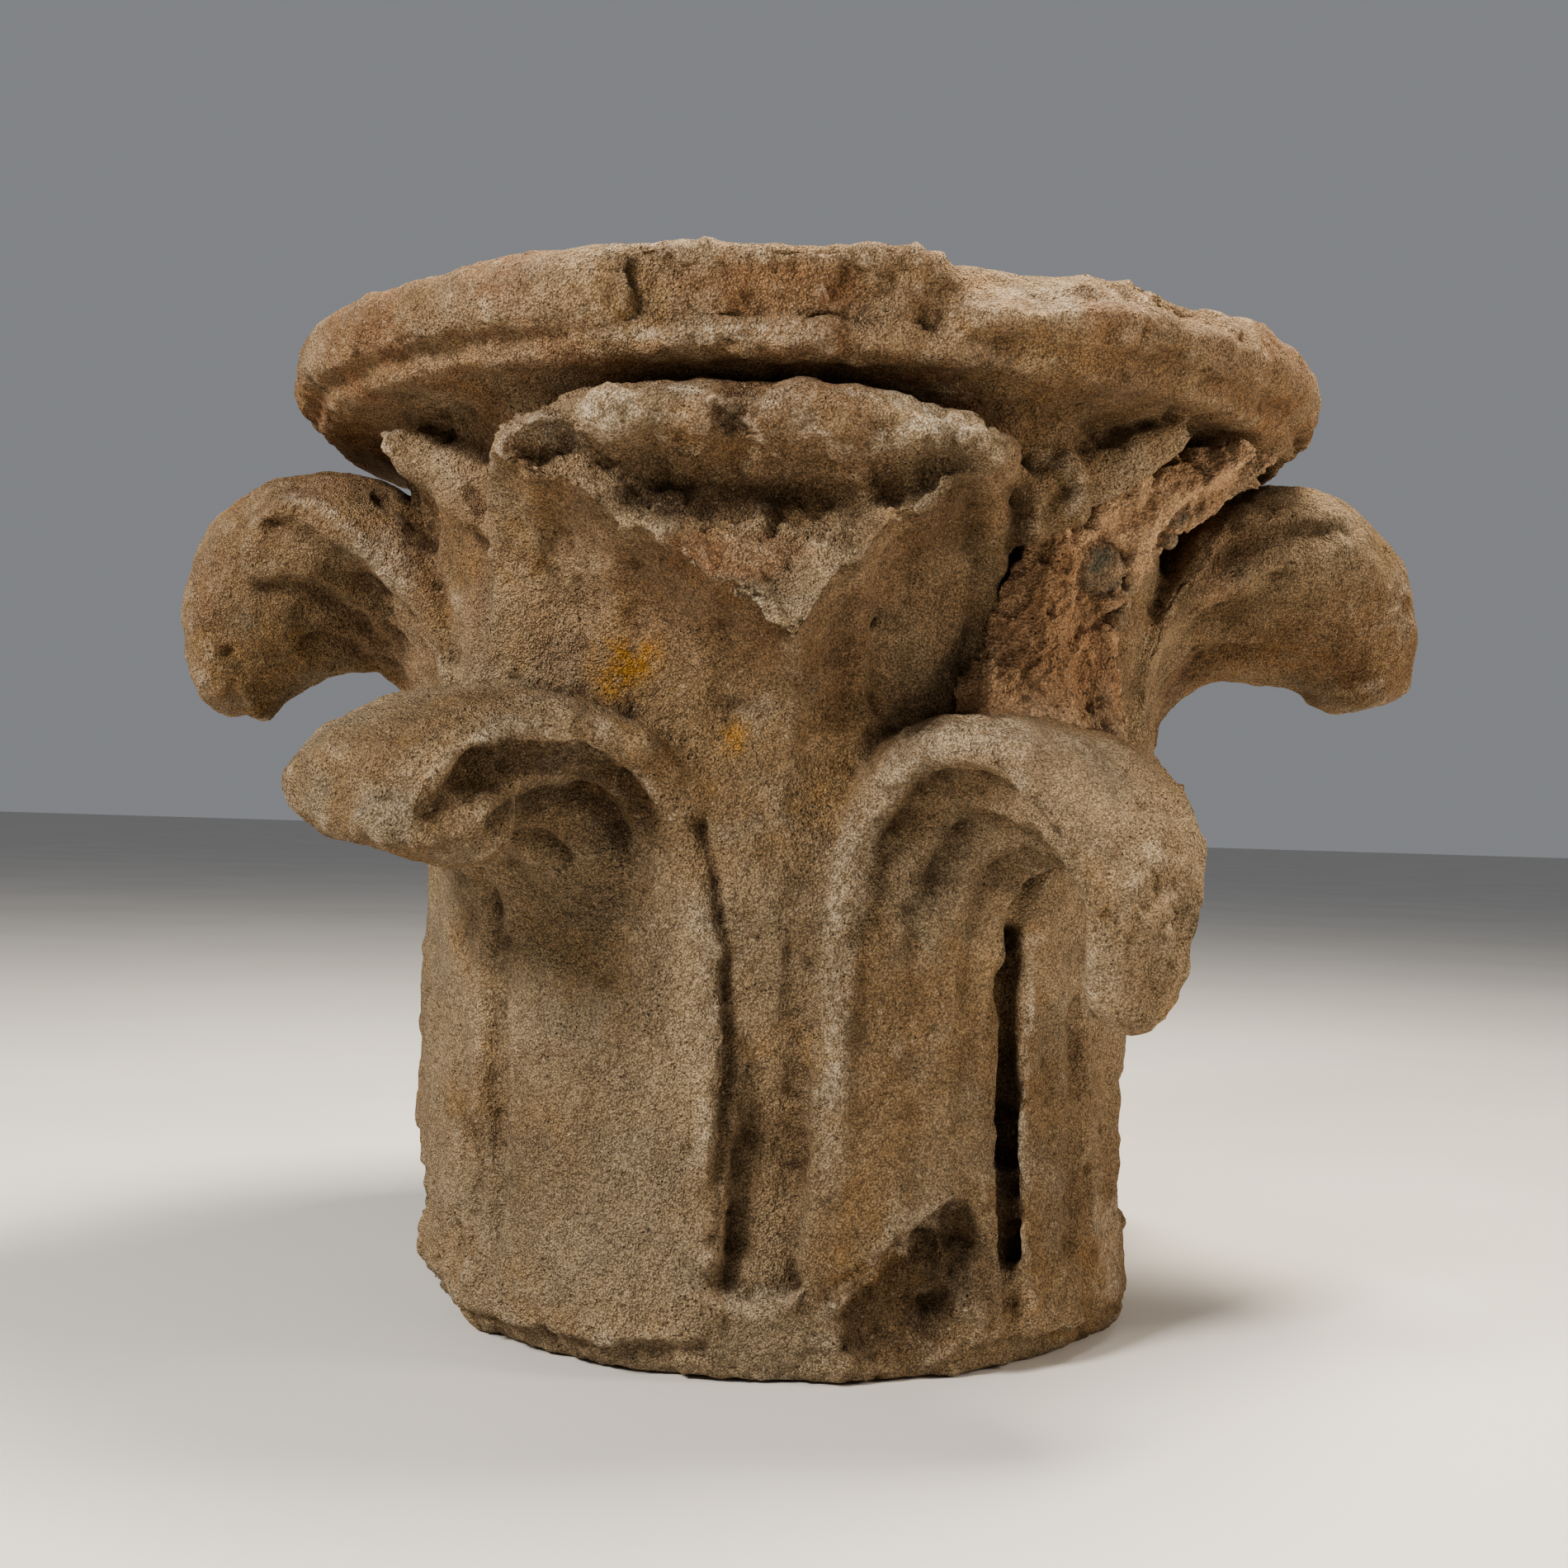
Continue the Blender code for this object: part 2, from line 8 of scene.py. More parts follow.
import itertools
import logging
import math
from dataclasses import dataclass, field, replace
from enum import Enum
from typing import Any

import bmesh
import bpy
import numpy as np
from mathutils import Matrix, Vector


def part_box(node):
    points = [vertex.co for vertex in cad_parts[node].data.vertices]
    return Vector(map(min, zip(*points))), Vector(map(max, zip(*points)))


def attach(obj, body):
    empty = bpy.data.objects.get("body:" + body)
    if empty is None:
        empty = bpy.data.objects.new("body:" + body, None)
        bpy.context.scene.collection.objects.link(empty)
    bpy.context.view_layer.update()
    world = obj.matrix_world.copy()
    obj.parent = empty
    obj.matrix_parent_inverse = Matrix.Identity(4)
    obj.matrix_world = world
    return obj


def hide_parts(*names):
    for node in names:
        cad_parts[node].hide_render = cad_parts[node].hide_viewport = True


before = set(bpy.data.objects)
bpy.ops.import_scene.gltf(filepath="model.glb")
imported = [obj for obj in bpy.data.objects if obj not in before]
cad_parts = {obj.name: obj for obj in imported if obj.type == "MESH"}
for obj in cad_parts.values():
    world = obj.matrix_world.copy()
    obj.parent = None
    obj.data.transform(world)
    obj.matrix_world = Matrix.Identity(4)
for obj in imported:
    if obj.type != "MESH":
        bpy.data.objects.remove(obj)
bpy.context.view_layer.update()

log = logging.getLogger("capital")
Array = np.ndarray


class Weather(Enum):
    """What shows on a patch of the stone: what the years did to it, and painted shade and painted highlights."""

    ROUGH = "rough"
    WEAR_AND_HIGHLIGHT = "pale"
    OCHRE = "ochre"
    RUST = "rust"
    GREY = "grey"
    DARK = "dark"


def on_stone(bearing: Any, radius: Any, height: Any) -> Array:
    """Turn bearings, radii and heights into points.

    Args:
        bearing: degrees round the axis, nought at the front.
        radius: distance from the axis.
        height: height above the lower bed.

    Returns:
        Points, with their coordinates last.
    """
    angle = np.radians(bearing)
    return np.stack(np.broadcast_arrays(radius * np.sin(angle), -radius * np.cos(angle), height), axis=-1)


def round_the_axis(points: Array) -> tuple[Array, Array, Array]:
    """Bearing in degrees, radius and height of each point."""
    bearing = np.degrees(np.arctan2(points[:, 0], -points[:, 1]))
    return bearing, np.hypot(points[:, 0], points[:, 1]), points[:, 2]


def ease(value: Any, low: float, high: float) -> Array:
    """A smooth step from nought at low to one at high."""
    share = np.clip((np.asarray(value) - low) / (high - low), 0.0, 1.0)
    return share * share * (3.0 - 2.0 * share)


def scatter(cells: Array, seed: int) -> Array:
    """A fixed number between -1 and 1 for each cell of whole coordinates, mixed from its three numbers and a seed."""
    mixed = cells[:, 0] * 73856093 ^ cells[:, 1] * 19349663 ^ cells[:, 2] * 83492791 ^ (seed * 26544357)
    mixed = (mixed ^ (mixed >> 13)) * 1274126177
    mixed = (mixed ^ (mixed >> 16)) & 0xFFFFFF
    return mixed / 8388607.5 - 1.0


def cloud(points: Array, size: float, seed: int, octaves: int = 1) -> Array:
    """Smooth unevenness between about -1 and 1.

    Random values stand at the corners of cubes and are blended between them by a quintic ease; each further octave
    is half as large and half as strong.

    Args:
        points: where to read it.
        size: edge of the largest cubes.
        seed: which pattern.
        octaves: how many sizes are added up.

    Returns:
        One value per point.
    """
    total = np.zeros(len(points))
    for octave in range(octaves):
        cells = points * (2.0**octave / size)
        corner = np.floor(cells)
        part = cells - corner
        part = part**3 * (part * (part * 6.0 - 15.0) + 10.0)
        corner = corner.astype(np.int64)
        for step in itertools.product((0, 1), repeat=3):
            share = np.prod(np.where(step, part, 1.0 - part), axis=1)
            total += share * scatter(corner + np.array(step), seed + 17 * octave) * 0.5**octave
    return total * 1.6


def chunks(points: Array, size: float, seed: int) -> tuple[Array, Array]:
    """Broken facets, as split stone shows.

    Each point belongs to the nearest of the random centres, one per cube, and reads that centre's own height plus its
    own tilt times the way from the centre.

    Args:
        points: where to read it.
        size: edge of the cubes.
        seed: which pattern.

    Returns:
        The facet's height between about -1 and 1, and the distance to its centre in cubes.
    """
    cells = points / size
    base = np.floor(cells).astype(np.int64)
    nearest = np.full(len(points), 9.0)
    height = np.zeros(len(points))
    for step in itertools.product((-1, 0, 1), repeat=3):
        cell = base + np.array(step)
        jitter = np.stack([scatter(cell, seed + k) for k in range(3)], axis=1) * 0.5 + 0.5
        away = cells - (cell + jitter)
        distance = np.linalg.norm(away, axis=1)
        closer = distance < nearest
        tilt = np.stack([scatter(cell, seed + 5 + k) for k in range(3)], axis=1)
        facet = 0.6 * scatter(cell, seed + 9) + 0.7 * np.sum(tilt * away, axis=1)
        nearest = np.where(closer, distance, nearest)
        height = np.where(closer, facet, height)
    return height, nearest


def read_points(mesh: bpy.types.Mesh) -> Array:
    """All vertex coordinates of a mesh."""
    flat = np.zeros(len(mesh.vertices) * 3, np.float32)
    mesh.vertices.foreach_get("co", flat)
    return flat.reshape(-1, 3).astype(float)


def write_points(mesh: bpy.types.Mesh, points: Array) -> None:
    """Puts new coordinates into a mesh."""
    mesh.vertices.foreach_set("co", points.astype(np.float32).ravel())
    mesh.update()


def read_normals(mesh: bpy.types.Mesh) -> Array:
    """The outward direction at each vertex."""
    flat = np.zeros(len(mesh.vertices) * 3, np.float32)
    mesh.vertex_normals.foreach_get("vector", flat)
    return flat.reshape(-1, 3).astype(float)


def read_edges(mesh: bpy.types.Mesh) -> Array:
    """The two vertex numbers of each edge."""
    flat = np.zeros(len(mesh.edges) * 2, np.int32)
    mesh.edges.foreach_get("vertices", flat)
    return flat.reshape(-1, 2)


def settle(values: Array, edges: Array, rounds: int, amount: float = 0.6) -> Array:
    """Evens out values over a mesh: in each round every vertex moves by an amount towards its neighbours' mean.

    Args:
        values: one row per vertex.
        edges: the two vertices of each edge.
        rounds: how many times.
        amount: the share of the way to the mean.

    Returns:
        The evened values.
    """
    count = len(values)
    near = np.bincount(edges[:, 0], minlength=count) + np.bincount(edges[:, 1], minlength=count)
    result = values.astype(float).reshape(count, -1).copy()
    for _ in range(rounds):
        for column in range(result.shape[1]):
            line = result[:, column]
            total = np.bincount(edges[:, 0], weights=line[edges[:, 1]], minlength=count)
            total += np.bincount(edges[:, 1], weights=line[edges[:, 0]], minlength=count)
            result[:, column] = line + amount * (total / np.maximum(near, 1) - line)
    return result.reshape(values.shape)


def surface_of_rings(rings: Array, more: Array | None = None) -> tuple[Array, Array]:
    """A closed skin through rings of points, with a fan of triangles on each end or a given grid on the last one.

    Args:
        rings: points by ring, by place in the ring, by coordinate.
        more: a grid of points that closes the last ring instead of a fan, by row and column.

    Returns:
        Points and faces; a face of three corners names its last one twice.
    """
    many, count = rings.shape[:2]
    index = np.arange(many * count).reshape(many, count)
    beside = np.roll(index, -1, axis=1)
    faces = [np.stack([index[:-1], beside[:-1], beside[1:], index[1:]], axis=-1).reshape(-1, 4)]
    points = [rings.reshape(-1, 3), rings[0].mean(axis=0)[None]]
    first = many * count
    faces.append(np.stack([np.full(count, first), beside[0], index[0], index[0]], axis=-1))
    if more is None:
        points.append(rings[-1].mean(axis=0)[None])
        faces.append(np.stack([np.full(count, first + 1), index[-1], beside[-1], beside[-1]], axis=-1))
    else:
        rows, columns = more.shape[:2]
        grid = first + 1 + np.arange(rows * columns).reshape(rows, columns)
        points.append(more.reshape(-1, 3))
        faces.append(np.stack([grid[:-1, :-1], grid[:-1, 1:], grid[1:, 1:], grid[1:, :-1]], axis=-1).reshape(-1, 4))
    return np.concatenate(points), np.concatenate(faces)


def make_mesh(name: str, parts: list[tuple[Array, Array]]) -> bpy.types.Object:
    """Gathers several closed skins in one new object, each with doubled points merged and faces turned outward.

    Args:
        name: the object's name.
        parts: points and faces of each skin.

    Returns:
        The new object, linked to the scene.
    """
    gathered = bmesh.new()
    for points, faces in parts:
        corners = [tuple(dict.fromkeys(face)) for face in faces.tolist()]
        shell = bpy.data.meshes.new(name)
        shell.from_pydata(points.tolist(), [], [face for face in corners if len(face) > 2])
        work = bmesh.new()
        work.from_mesh(shell)
        bmesh.ops.remove_doubles(work, verts=work.verts, dist=0.00002)
        bmesh.ops.recalc_face_normals(work, faces=work.faces)
        work.to_mesh(shell)
        work.free()
        gathered.from_mesh(shell)
        bpy.data.meshes.remove(shell)
    mesh = bpy.data.meshes.new(name)
    gathered.to_mesh(mesh)
    gathered.free()
    made = bpy.data.objects.new(name, mesh)
    bpy.context.scene.collection.objects.link(made)
    return made


def apply_modifiers(piece: bpy.types.Object) -> None:
    """Replaces a piece's mesh with the one its modifiers make."""
    bpy.context.view_layer.update()
    graph = bpy.context.evaluated_depsgraph_get()
    mesh = bpy.data.meshes.new_from_object(piece.evaluated_get(graph))
    piece.modifiers.clear()
    old, piece.data = piece.data, mesh
    mesh.name = piece.name
    bpy.data.meshes.remove(old)


def reskin(piece: bpy.types.Object, voxel: float) -> None:
    """Gives a piece one even outer skin of small squares."""
    modifier = piece.modifiers.new("Skin", "REMESH")
    modifier.mode = "VOXEL"
    modifier.voxel_size = voxel
    modifier.use_smooth_shade = True
    apply_modifiers(piece)
    drop_crumbs(piece)


def drop_crumbs(piece: bpy.types.Object) -> None:
    """Removes the loose crumbs that a new skin can leave, keeping its largest part.

    Args:
        piece: the object.
    """
    work = bmesh.new()
    work.from_mesh(piece.data)
    loose = set(work.verts)
    parts = []
    while loose:
        part = [loose.pop()]
        for vert in part:
            near = [edge.other_vert(vert) for edge in vert.link_edges]
            near = [other for other in near if other in loose]
            loose.difference_update(near)
            part.extend(near)
        parts.append(part)
    parts.sort(key=len)
    crumbs = [vert for part in parts[:-1] for vert in part]
    bmesh.ops.delete(work, geom=crumbs, context="VERTS")
    work.to_mesh(piece.data)
    work.free()


def thin_out(piece: bpy.types.Object, limit: int) -> None:
    """Takes triangles away down to a limit, first where the surface is flat.

    Args:
        piece: the object.
        limit: the most triangles to keep.
    """
    triangles = len(piece.data.loops) - 2 * len(piece.data.polygons)
    modifier = piece.modifiers.new("Thin", "DECIMATE")
    modifier.ratio = min(1.0, limit / triangles)
    modifier.use_collapse_triangulate = True
    apply_modifiers(piece)


def keep_attribute(piece: bpy.types.Object, name: str, values: Array) -> None:
    """Stores one number per vertex for the finishes to read."""
    stored = piece.data.attributes.new(name, "FLOAT", "POINT")
    stored.data.foreach_set("value", np.clip(values, 0.0, 1.0).astype(np.float32))


@dataclass(frozen=True)
class FrontView:
    """The photograph's view of the stone, and a sheet of 1900 units square that everything is thrown on from there.

    Marks on the front are placed by their coordinates on that sheet, to the right and down.
    """

    distance: float = 0.816069
    height: float = 0.202275
    pitch: float = 0.999201
    roll: float = 1.706214
    yaw: float = 0.272525
    focal: float = 2267.584
    sheet: float = 1900.0

    def axes(self) -> Array:
        """The view's right, up and backward directions as columns: turned by yaw, then pitch, then roll."""
        pitch, roll, yaw = (math.radians(angle) for angle in (self.pitch, self.roll, self.yaw))
        right = np.array([math.cos(yaw), math.sin(yaw), 0.0])
        level = np.array([-math.sin(yaw), math.cos(yaw), 0.0])
        up = np.array([0.0, 0.0, 1.0])
        forward = math.cos(pitch) * level + math.sin(pitch) * up
        above = -math.sin(pitch) * level + math.cos(pitch) * up
        turned_right = math.cos(roll) * right + math.sin(roll) * above
        turned_up = -math.sin(roll) * right + math.cos(roll) * above
        return np.stack([turned_right, turned_up, -forward], axis=1)

    def throw(self, points: Array) -> tuple[Array, Array]:
        """Places on the sheet, and distances from the view's plane."""
        local = (points - np.array([0.0, -self.distance, self.height])) @ self.axes()
        away = -local[:, 2]
        half = self.sheet / 2.0
        across = half + self.focal * local[:, 0] / away
        down = half - self.focal * local[:, 1] / away
        return np.stack([across, down], axis=1), away

    def seen(self, points: Array, normals: Array, cell: float = 7.0, slack: float = 0.012) -> Array:
        """How openly each point shows from the view: it faces the view and nothing stands before it.

        Args:
            points: the surface's points.
            normals: their outward directions.
            cell: size of the squares of the sheet in which the nearest point is looked up.
            slack: how far behind the nearest point still counts as seen.

        Returns:
            A share between nought and one per point.
        """
        place, away = self.throw(points)
        cells = np.floor(place / cell).astype(int)
        wide = int(self.sheet / cell) + 2
        cells = np.clip(cells, 0, wide - 1)
        index = cells[:, 0] * wide + cells[:, 1]
        nearest = np.full(wide * wide, 9.0)
        np.minimum.at(nearest, index, away)
        open_to_view = away < nearest[index] + slack
        toward = np.array([0.0, -self.distance, self.height]) - points
        toward /= np.linalg.norm(toward, axis=1)[:, None]
        return open_to_view * ease(np.sum(toward * normals, axis=1), 0.05, 0.30)

    def build(self) -> bpy.types.Object:
        """Makes the camera, standing in front of the stone."""
        data = bpy.data.cameras.new("front_view")
        data.sensor_width = 36.0
        data.lens = self.focal / self.sheet * data.sensor_width
        data.clip_start = 0.01
        camera = bpy.data.objects.new("front_view", data)
        bpy.context.scene.collection.objects.link(camera)
        matrix = Matrix(self.axes().tolist()).to_4x4()
        matrix.translation = Vector((0.0, -self.distance, self.height))
        camera.matrix_world = matrix
        bpy.context.scene.camera = camera
        return camera


class Cut(Enum):
    """The profile that a stroke leaves."""

    STEP = "step"
    GROOVE = "groove"
    RIDGE = "ridge"


@dataclass(frozen=True)
class Stroke:
    """A mark carved along a path on the front view's sheet.

    A step drops the surface to the right of the path and lets it come back over its width. A groove sinks it and a
    ridge lifts it on both sides.
    """

    kind: Cut
    width: float
    depth: float
    path: tuple[tuple[float, float], ...]
    lap: float = 0.0022
    wander: float = 0.0009
    fade: float = 0.12

    def curve(self) -> Array:
        """The path as a smooth curve: cubic pieces through its points, each led by its neighbours."""
        knots = np.array(self.path, dtype=float)
        knots = np.concatenate([2.0 * knots[:1] - knots[1:2], knots, 2.0 * knots[-1:] - knots[-2:-1]])
        share = np.linspace(0.0, 1.0, 9)[:-1][:, None]
        pieces = []
        for before, first, second, after in zip(knots, knots[1:], knots[2:], knots[3:]):
            bend = 2.0 * first + (second - before) * share
            bend = bend + (2.0 * before - 5.0 * first + 4.0 * second - after) * share**2
            pieces.append(0.5 * (bend + (3.0 * first - before - 3.0 * second + after) * share**3))
        return np.concatenate(pieces + [knots[-2:-1]])

    def depths(self, points: Array, place: Array, scale: Array, seed: int) -> Array:
        """How far the surface moves outward at each point.

        Args:
            points: the surface's points.
            place: their places on the sheet.
            scale: metres per sheet unit at each point.
            seed: which wander.

        Returns:
            Moves along the outward direction, below nought for stone taken away.
        """
        curve = self.curve()
        move = np.zeros(len(points))
        margin = self.width / np.median(scale) * 1.3
        near = np.all((place > curve.min(axis=0) - margin) & (place < curve.max(axis=0) + margin), axis=1)
        if not near.any():
            return move
        spot = place[near][:, None, :]
        start = curve[:-1][None]
        way = np.diff(curve, axis=0)[None]
        length = np.sum(way**2, axis=2)
        share = np.clip(np.sum((spot - start) * way, axis=2) / length, 0.0, 1.0)
        off = spot - (start + way * share[..., None])
        distance = np.hypot(off[..., 0], off[..., 1])
        best = np.argmin(distance, axis=1)
        row = np.arange(len(best))
        off, way = off[row, best], way[0, best]
        side = np.sign(off[:, 1] * way[:, 0] - off[:, 0] * way[:, 1])
        travel = (best + share[row, best]) / (len(curve) - 1)
        gone = distance[row, best] * side * scale[near]
        gone = gone + self.wander * cloud(points[near], 0.014, seed, 2)
        ends = ease(travel, 0.0, self.fade) * (1.0 - ease(travel, 1.0 - self.fade, 1.0))
        reach = np.abs(gone)
        if self.kind is Cut.STEP:
            shape = -ease(gone, -0.3 * self.lap, self.lap) * np.clip(1.0 - gone / self.width, 0.0, 1.0) ** 1.1
            shape = shape + 0.22 * (gone < 0.0) * (1.0 - ease(reach, 0.0, 0.45 * self.width))
        elif self.kind is Cut.GROOVE:
            shape = -(1.0 - ease(reach, 0.25 * self.width, self.width))
        else:
            shape = 1.0 - ease(reach, 0.15 * self.width, self.width)
        vary = 1.0 + 0.25 * cloud(points[near], 0.022, seed + 50, 2)
        move[near] = self.depth * shape * ends * vary
        return move


@dataclass(frozen=True)
class Mark:
    """A soft-edged patch of the front, by its place and half sizes on the view's sheet, and what shows there."""

    kind: "Weather"
    across: float
    down: float
    half_across: float
    half_down: float
    strength: float = 1.0

    def mask(self, place: Array) -> Array:
        """The mark's strength at each place, falling off to its edge."""
        off = (place - np.array([self.across, self.down])) / np.array([self.half_across, self.half_down])
        return self.strength * (1.0 - ease(np.hypot(off[:, 0], off[:, 1]), 0.45, 1.0))


@dataclass(frozen=True)
class Line:
    """A line in a leaf's upright plane: a rise beside the bell, then an arc that carries it outward and over.

    The root and the centre of the arc are placed by their reach from the bell's wall and their height. The arc starts
    level with its centre on the inner side and turns to the end angle, while its size goes from the start size to the
    end size with the square of the turn.
    """

    root_reach: float
    root_height: float
    centre_reach: float
    centre_height: float
    start_size: float
    end_size: float
    end_angle: float

    def at(self, share: Array, bell: float, rise_share: float) -> Array:
        """Radius and height at shares of the line's length.

        Args:
            share: nought at the root to one at the tip.
            bell: radius of the bell's wall.
            rise_share: the share where the arc starts.

        Returns:
            Pairs of radius and height.
        """
        rise = np.clip(share / rise_share, 0.0, 1.0)
        eased = rise * rise * (3.0 - 2.0 * rise)
        turn = np.clip((share - rise_share) / (1.0 - rise_share), 0.0, 1.0)
        angle = np.radians(180.0 + (self.end_angle - 180.0) * turn)
        size = self.start_size + (self.end_size - self.start_size) * turn**2
        start = self.centre_reach - self.start_size
        low = share < rise_share
        reach = np.where(
            low, self.root_reach + (start - self.root_reach) * eased, self.centre_reach + size * np.cos(angle)
        )
        height = np.where(
            low,
            self.root_height + (self.centre_height - self.root_height) * rise,
            self.centre_height + size * np.sin(angle),
        )
        return np.stack([bell + reach, height], axis=-1)


@dataclass(frozen=True)
class Leaf:
    """A carved leaf: its bearing, the lines of its back, borders and midrib, its half widths and its fluting."""

    bearing: float
    back: Line
    border: Line
    midrib: Line
    left_widths: tuple[float, ...]
    right_widths: tuple[float, ...]
    bell: float
    left_hollow: float = 0.0
    right_hollow: float = 0.0
    flute_depth: float = 0.006
    flute_start: tuple[float, float] = (0.20, 0.55)
    flute_end: tuple[float, float] = (0.70, 0.95)
    root_flute: float = 0.16
    midrib_gap: float = 0.003
    midrib_depth: float = 0.008
    root_roundness: float = 1.0
    curl_roundness: float = 0.12
    end_roundness: float | None = None
    tip_round: float = 0.012
    edges: tuple[float, ...] = (0.16, 0.43, 0.71)
    lap: float = 0.05
    rise_share: float = 0.36
    knots: tuple[float, ...] = (0.0, 0.36, 0.70, 1.0)

    def sunk(self, place: Array) -> Array:
        """The share of the flute's depth at places across half the leaf: a short step down at each edge, a slow return."""
        ends = self.edges[1:] + (1.02,)
        depth = np.zeros_like(place)
        for start, end in zip(self.edges, ends):
            down = ease(place, start, start + self.lap)
            back = np.clip((end - place) / (end - start - self.lap), 0.0, 1.0)
            depth = np.where((place >= start) & (place < end), down * back**0.8, depth)
        return depth

    def sections(self, share: Array, columns: int, crown: int) -> Array:
        """Sections of the leaf at shares of its length.

        Each runs from the left border over the fluted face and the midrib's groove to the right border, and back over
        the crown. The face lies between the border line and the midrib line: across the half leaf its offset falls
        evenly from the half width, and its depth follows place + bow * place * (1 - place), less the flutes.

        Args:
            share: nought at the root to one at the tip, one value per section.
            columns: points across each half.
            crown: points over the crown.

        Returns:
            Points by section and place in the section.
        """
        back = self.back.at(share, self.bell, self.rise_share)
        border = self.border.at(share, self.bell, self.rise_share)
        midrib = self.midrib.at(share, self.bell, self.rise_share)
        span = midrib - border
        depth = np.linalg.norm(span, axis=1)
        way = span / depth[:, None]
        curl = np.clip((share - 0.2) / 0.35, 0.0, 1.0)
        roundness = self.root_roundness + (self.curl_roundness - self.root_roundness) * curl
        if self.end_roundness is not None:
            roundness = roundness + (self.end_roundness - self.curl_roundness) * ease(share, 0.52, 0.88)
        root = np.clip(share / 0.12, 0.0, 1.0)
        fade = 1.0 - ease(share, *self.flute_end)
        grown = ease(share, *self.flute_start)
        flute = self.flute_depth * (self.root_flute + (1.0 - self.root_flute) * grown) * root * fade
        place = np.linspace(0.0, 1.0, columns)[None, :]
        halves = []
        widths = []
        for side, half, hollow in ((-1.0, self.left_widths, self.left_hollow), (1.0, self.right_widths, self.right_hollow)):
            width = np.interp(share, self.knots, half)
            slope = np.hypot(width, depth)
            carved = (flute * np.minimum(1.0, width / 0.035))[:, None] * self.sunk(place)
            lift = place + (roundness - hollow * curl)[:, None] * place * (1.0 - place)
            across = width[:, None] + (self.midrib_gap - width[:, None]) * place - carved * (depth / slope)[:, None]
            down = depth[:, None] * lift - carved * (width / slope)[:, None]
            across = np.maximum(across, self.midrib_gap * 0.5 if self.midrib_gap > 0.0 else 0.0)
            halves.append((side * across, border[:, None, :] + way[:, None, :] * down[..., None]))
            widths.append(width)
        offsets = [halves[0][0]]
        lines = [halves[0][1]]
        if self.midrib_gap > 0.0:
            dip = np.minimum(self.midrib_depth * root * np.clip(fade, 0.3, 1.0), depth * 0.6)
            floor = border + way * (depth - dip)[:, None]
            for offset in (-0.35, 0.35):
                offsets.append(np.full((len(share), 1), offset * self.midrib_gap))
                lines.append(floor[:, None, :])
        offsets.append(halves[1][0][:, ::-1])
        lines.append(halves[1][1][:, ::-1])
        middle = (widths[1] - widths[0]) / 2.0
        reach = (widths[1] + widths[0]) / 2.0
        turn = np.linspace(0.0, math.pi, crown + 2)[1:-1][None, :]
        offsets.append(middle[:, None] + reach[:, None] * np.cos(turn))
        arch = (np.sin(turn) ** 0.8)[..., None]
        lines.append(border[:, None, :] + (back - border)[:, None, :] * arch)
        across = np.concatenate(offsets, axis=1)
        line = np.concatenate(lines, axis=1)
        return self.place(line[..., 0], line[..., 1], across)

    def place(self, radius: Array, height: Array, offset: Array) -> Array:
        """Points from the leaf's plane: radius and height in the plane, offset square to it."""
        angle = math.radians(self.bearing)
        x = radius * math.sin(angle) + offset * math.cos(angle)
        y = -radius * math.cos(angle) + offset * math.sin(angle)
        return np.stack([x, y, height], axis=-1)

    def skin(self) -> tuple[Array, Array]:
        """Points and faces of the whole leaf, its tip rounded by rings that shrink as a quarter circle."""
        rings = self.sections(np.linspace(0.0, 1.0, 110), 46, 44)
        end = rings[-1]
        centre = end.mean(axis=0)
        step = centre - rings[-2].mean(axis=0)
        step = step / np.linalg.norm(step)
        turn = np.radians(np.linspace(8.0, 84.0, 9))[:, None, None]
        tip = centre + (end - centre) * np.cos(turn) + step * self.tip_round * np.sin(turn)
        return surface_of_rings(np.concatenate([rings, tip]))


@dataclass(frozen=True)
class BrokenLeaf(Leaf):
    """The front leaf, whose curl has broken off and left an undercut rough face."""

    break_depth: float = 0.030
    ledges: tuple[tuple[float, float], ...] = (
        (0.0, 0.0), (0.06, 0.10), (0.16, 0.24), (0.27, 0.34), (0.34, 0.62), (0.46, 0.96), (0.60, 1.0),
        (0.71, 0.62), (0.81, 0.20), (0.91, 0.03), (1.0, 0.0),
    )

    def skin(self) -> tuple[Array, Array]:
        """Points and faces of the leaf with its broken face.

        The face is a grid from the leaf's lower edge to its crown. It is pushed in by the break's depth times the
        profile of its ledges, times an arch across, and roughened by facets.
        """
        rings = self.sections(np.linspace(0.0, 1.0, 100), 60, 119)
        end = rings[-1]
        face = 120
        front = end[:face]
        crown = end[face:]
        offset_face = front @ self.place(np.array(0.0), np.array(0.0), np.array(1.0))
        offset_crown = crown @ self.place(np.array(0.0), np.array(0.0), np.array(1.0))
        order = np.argsort(offset_crown)
        back = np.stack([np.interp(offset_face, offset_crown[order], crown[order, k]) for k in range(3)], axis=-1)
        back[0], back[-1] = front[0], front[-1]
        share = np.linspace(0.0, 1.0, 60)[:, None, None]
        grid = front[None] + (back - front)[None] * share
        arch = np.clip(np.sin(np.linspace(0.0, math.pi, face)), 0.0, 1.0)[None, :] ** 0.5
        knots, pushes = zip(*self.ledges)
        wander = cloud(np.concatenate([front, front])[:face], 0.05, 31)[None, :] * 0.07
        profile = np.interp(share[:, :, 0] + wander, knots, pushes)
        flat = grid.reshape(-1, 3)
        facets = chunks(flat, 0.020, 71)[0].reshape(arch.shape[1] * 0 + 60, face)
        edge = np.clip(np.minimum(share[:, :, 0], 1.0 - share[:, :, 0]) / 0.08, 0.0, 1.0)
        push = self.break_depth * arch * profile + 0.0040 * facets * arch * edge * np.clip(profile * 2.0, 0.25, 1.0)
        outward = self.place(np.array(1.0), np.array(0.0), np.array(0.0))
        return surface_of_rings(rings, grid - outward * push[..., None])


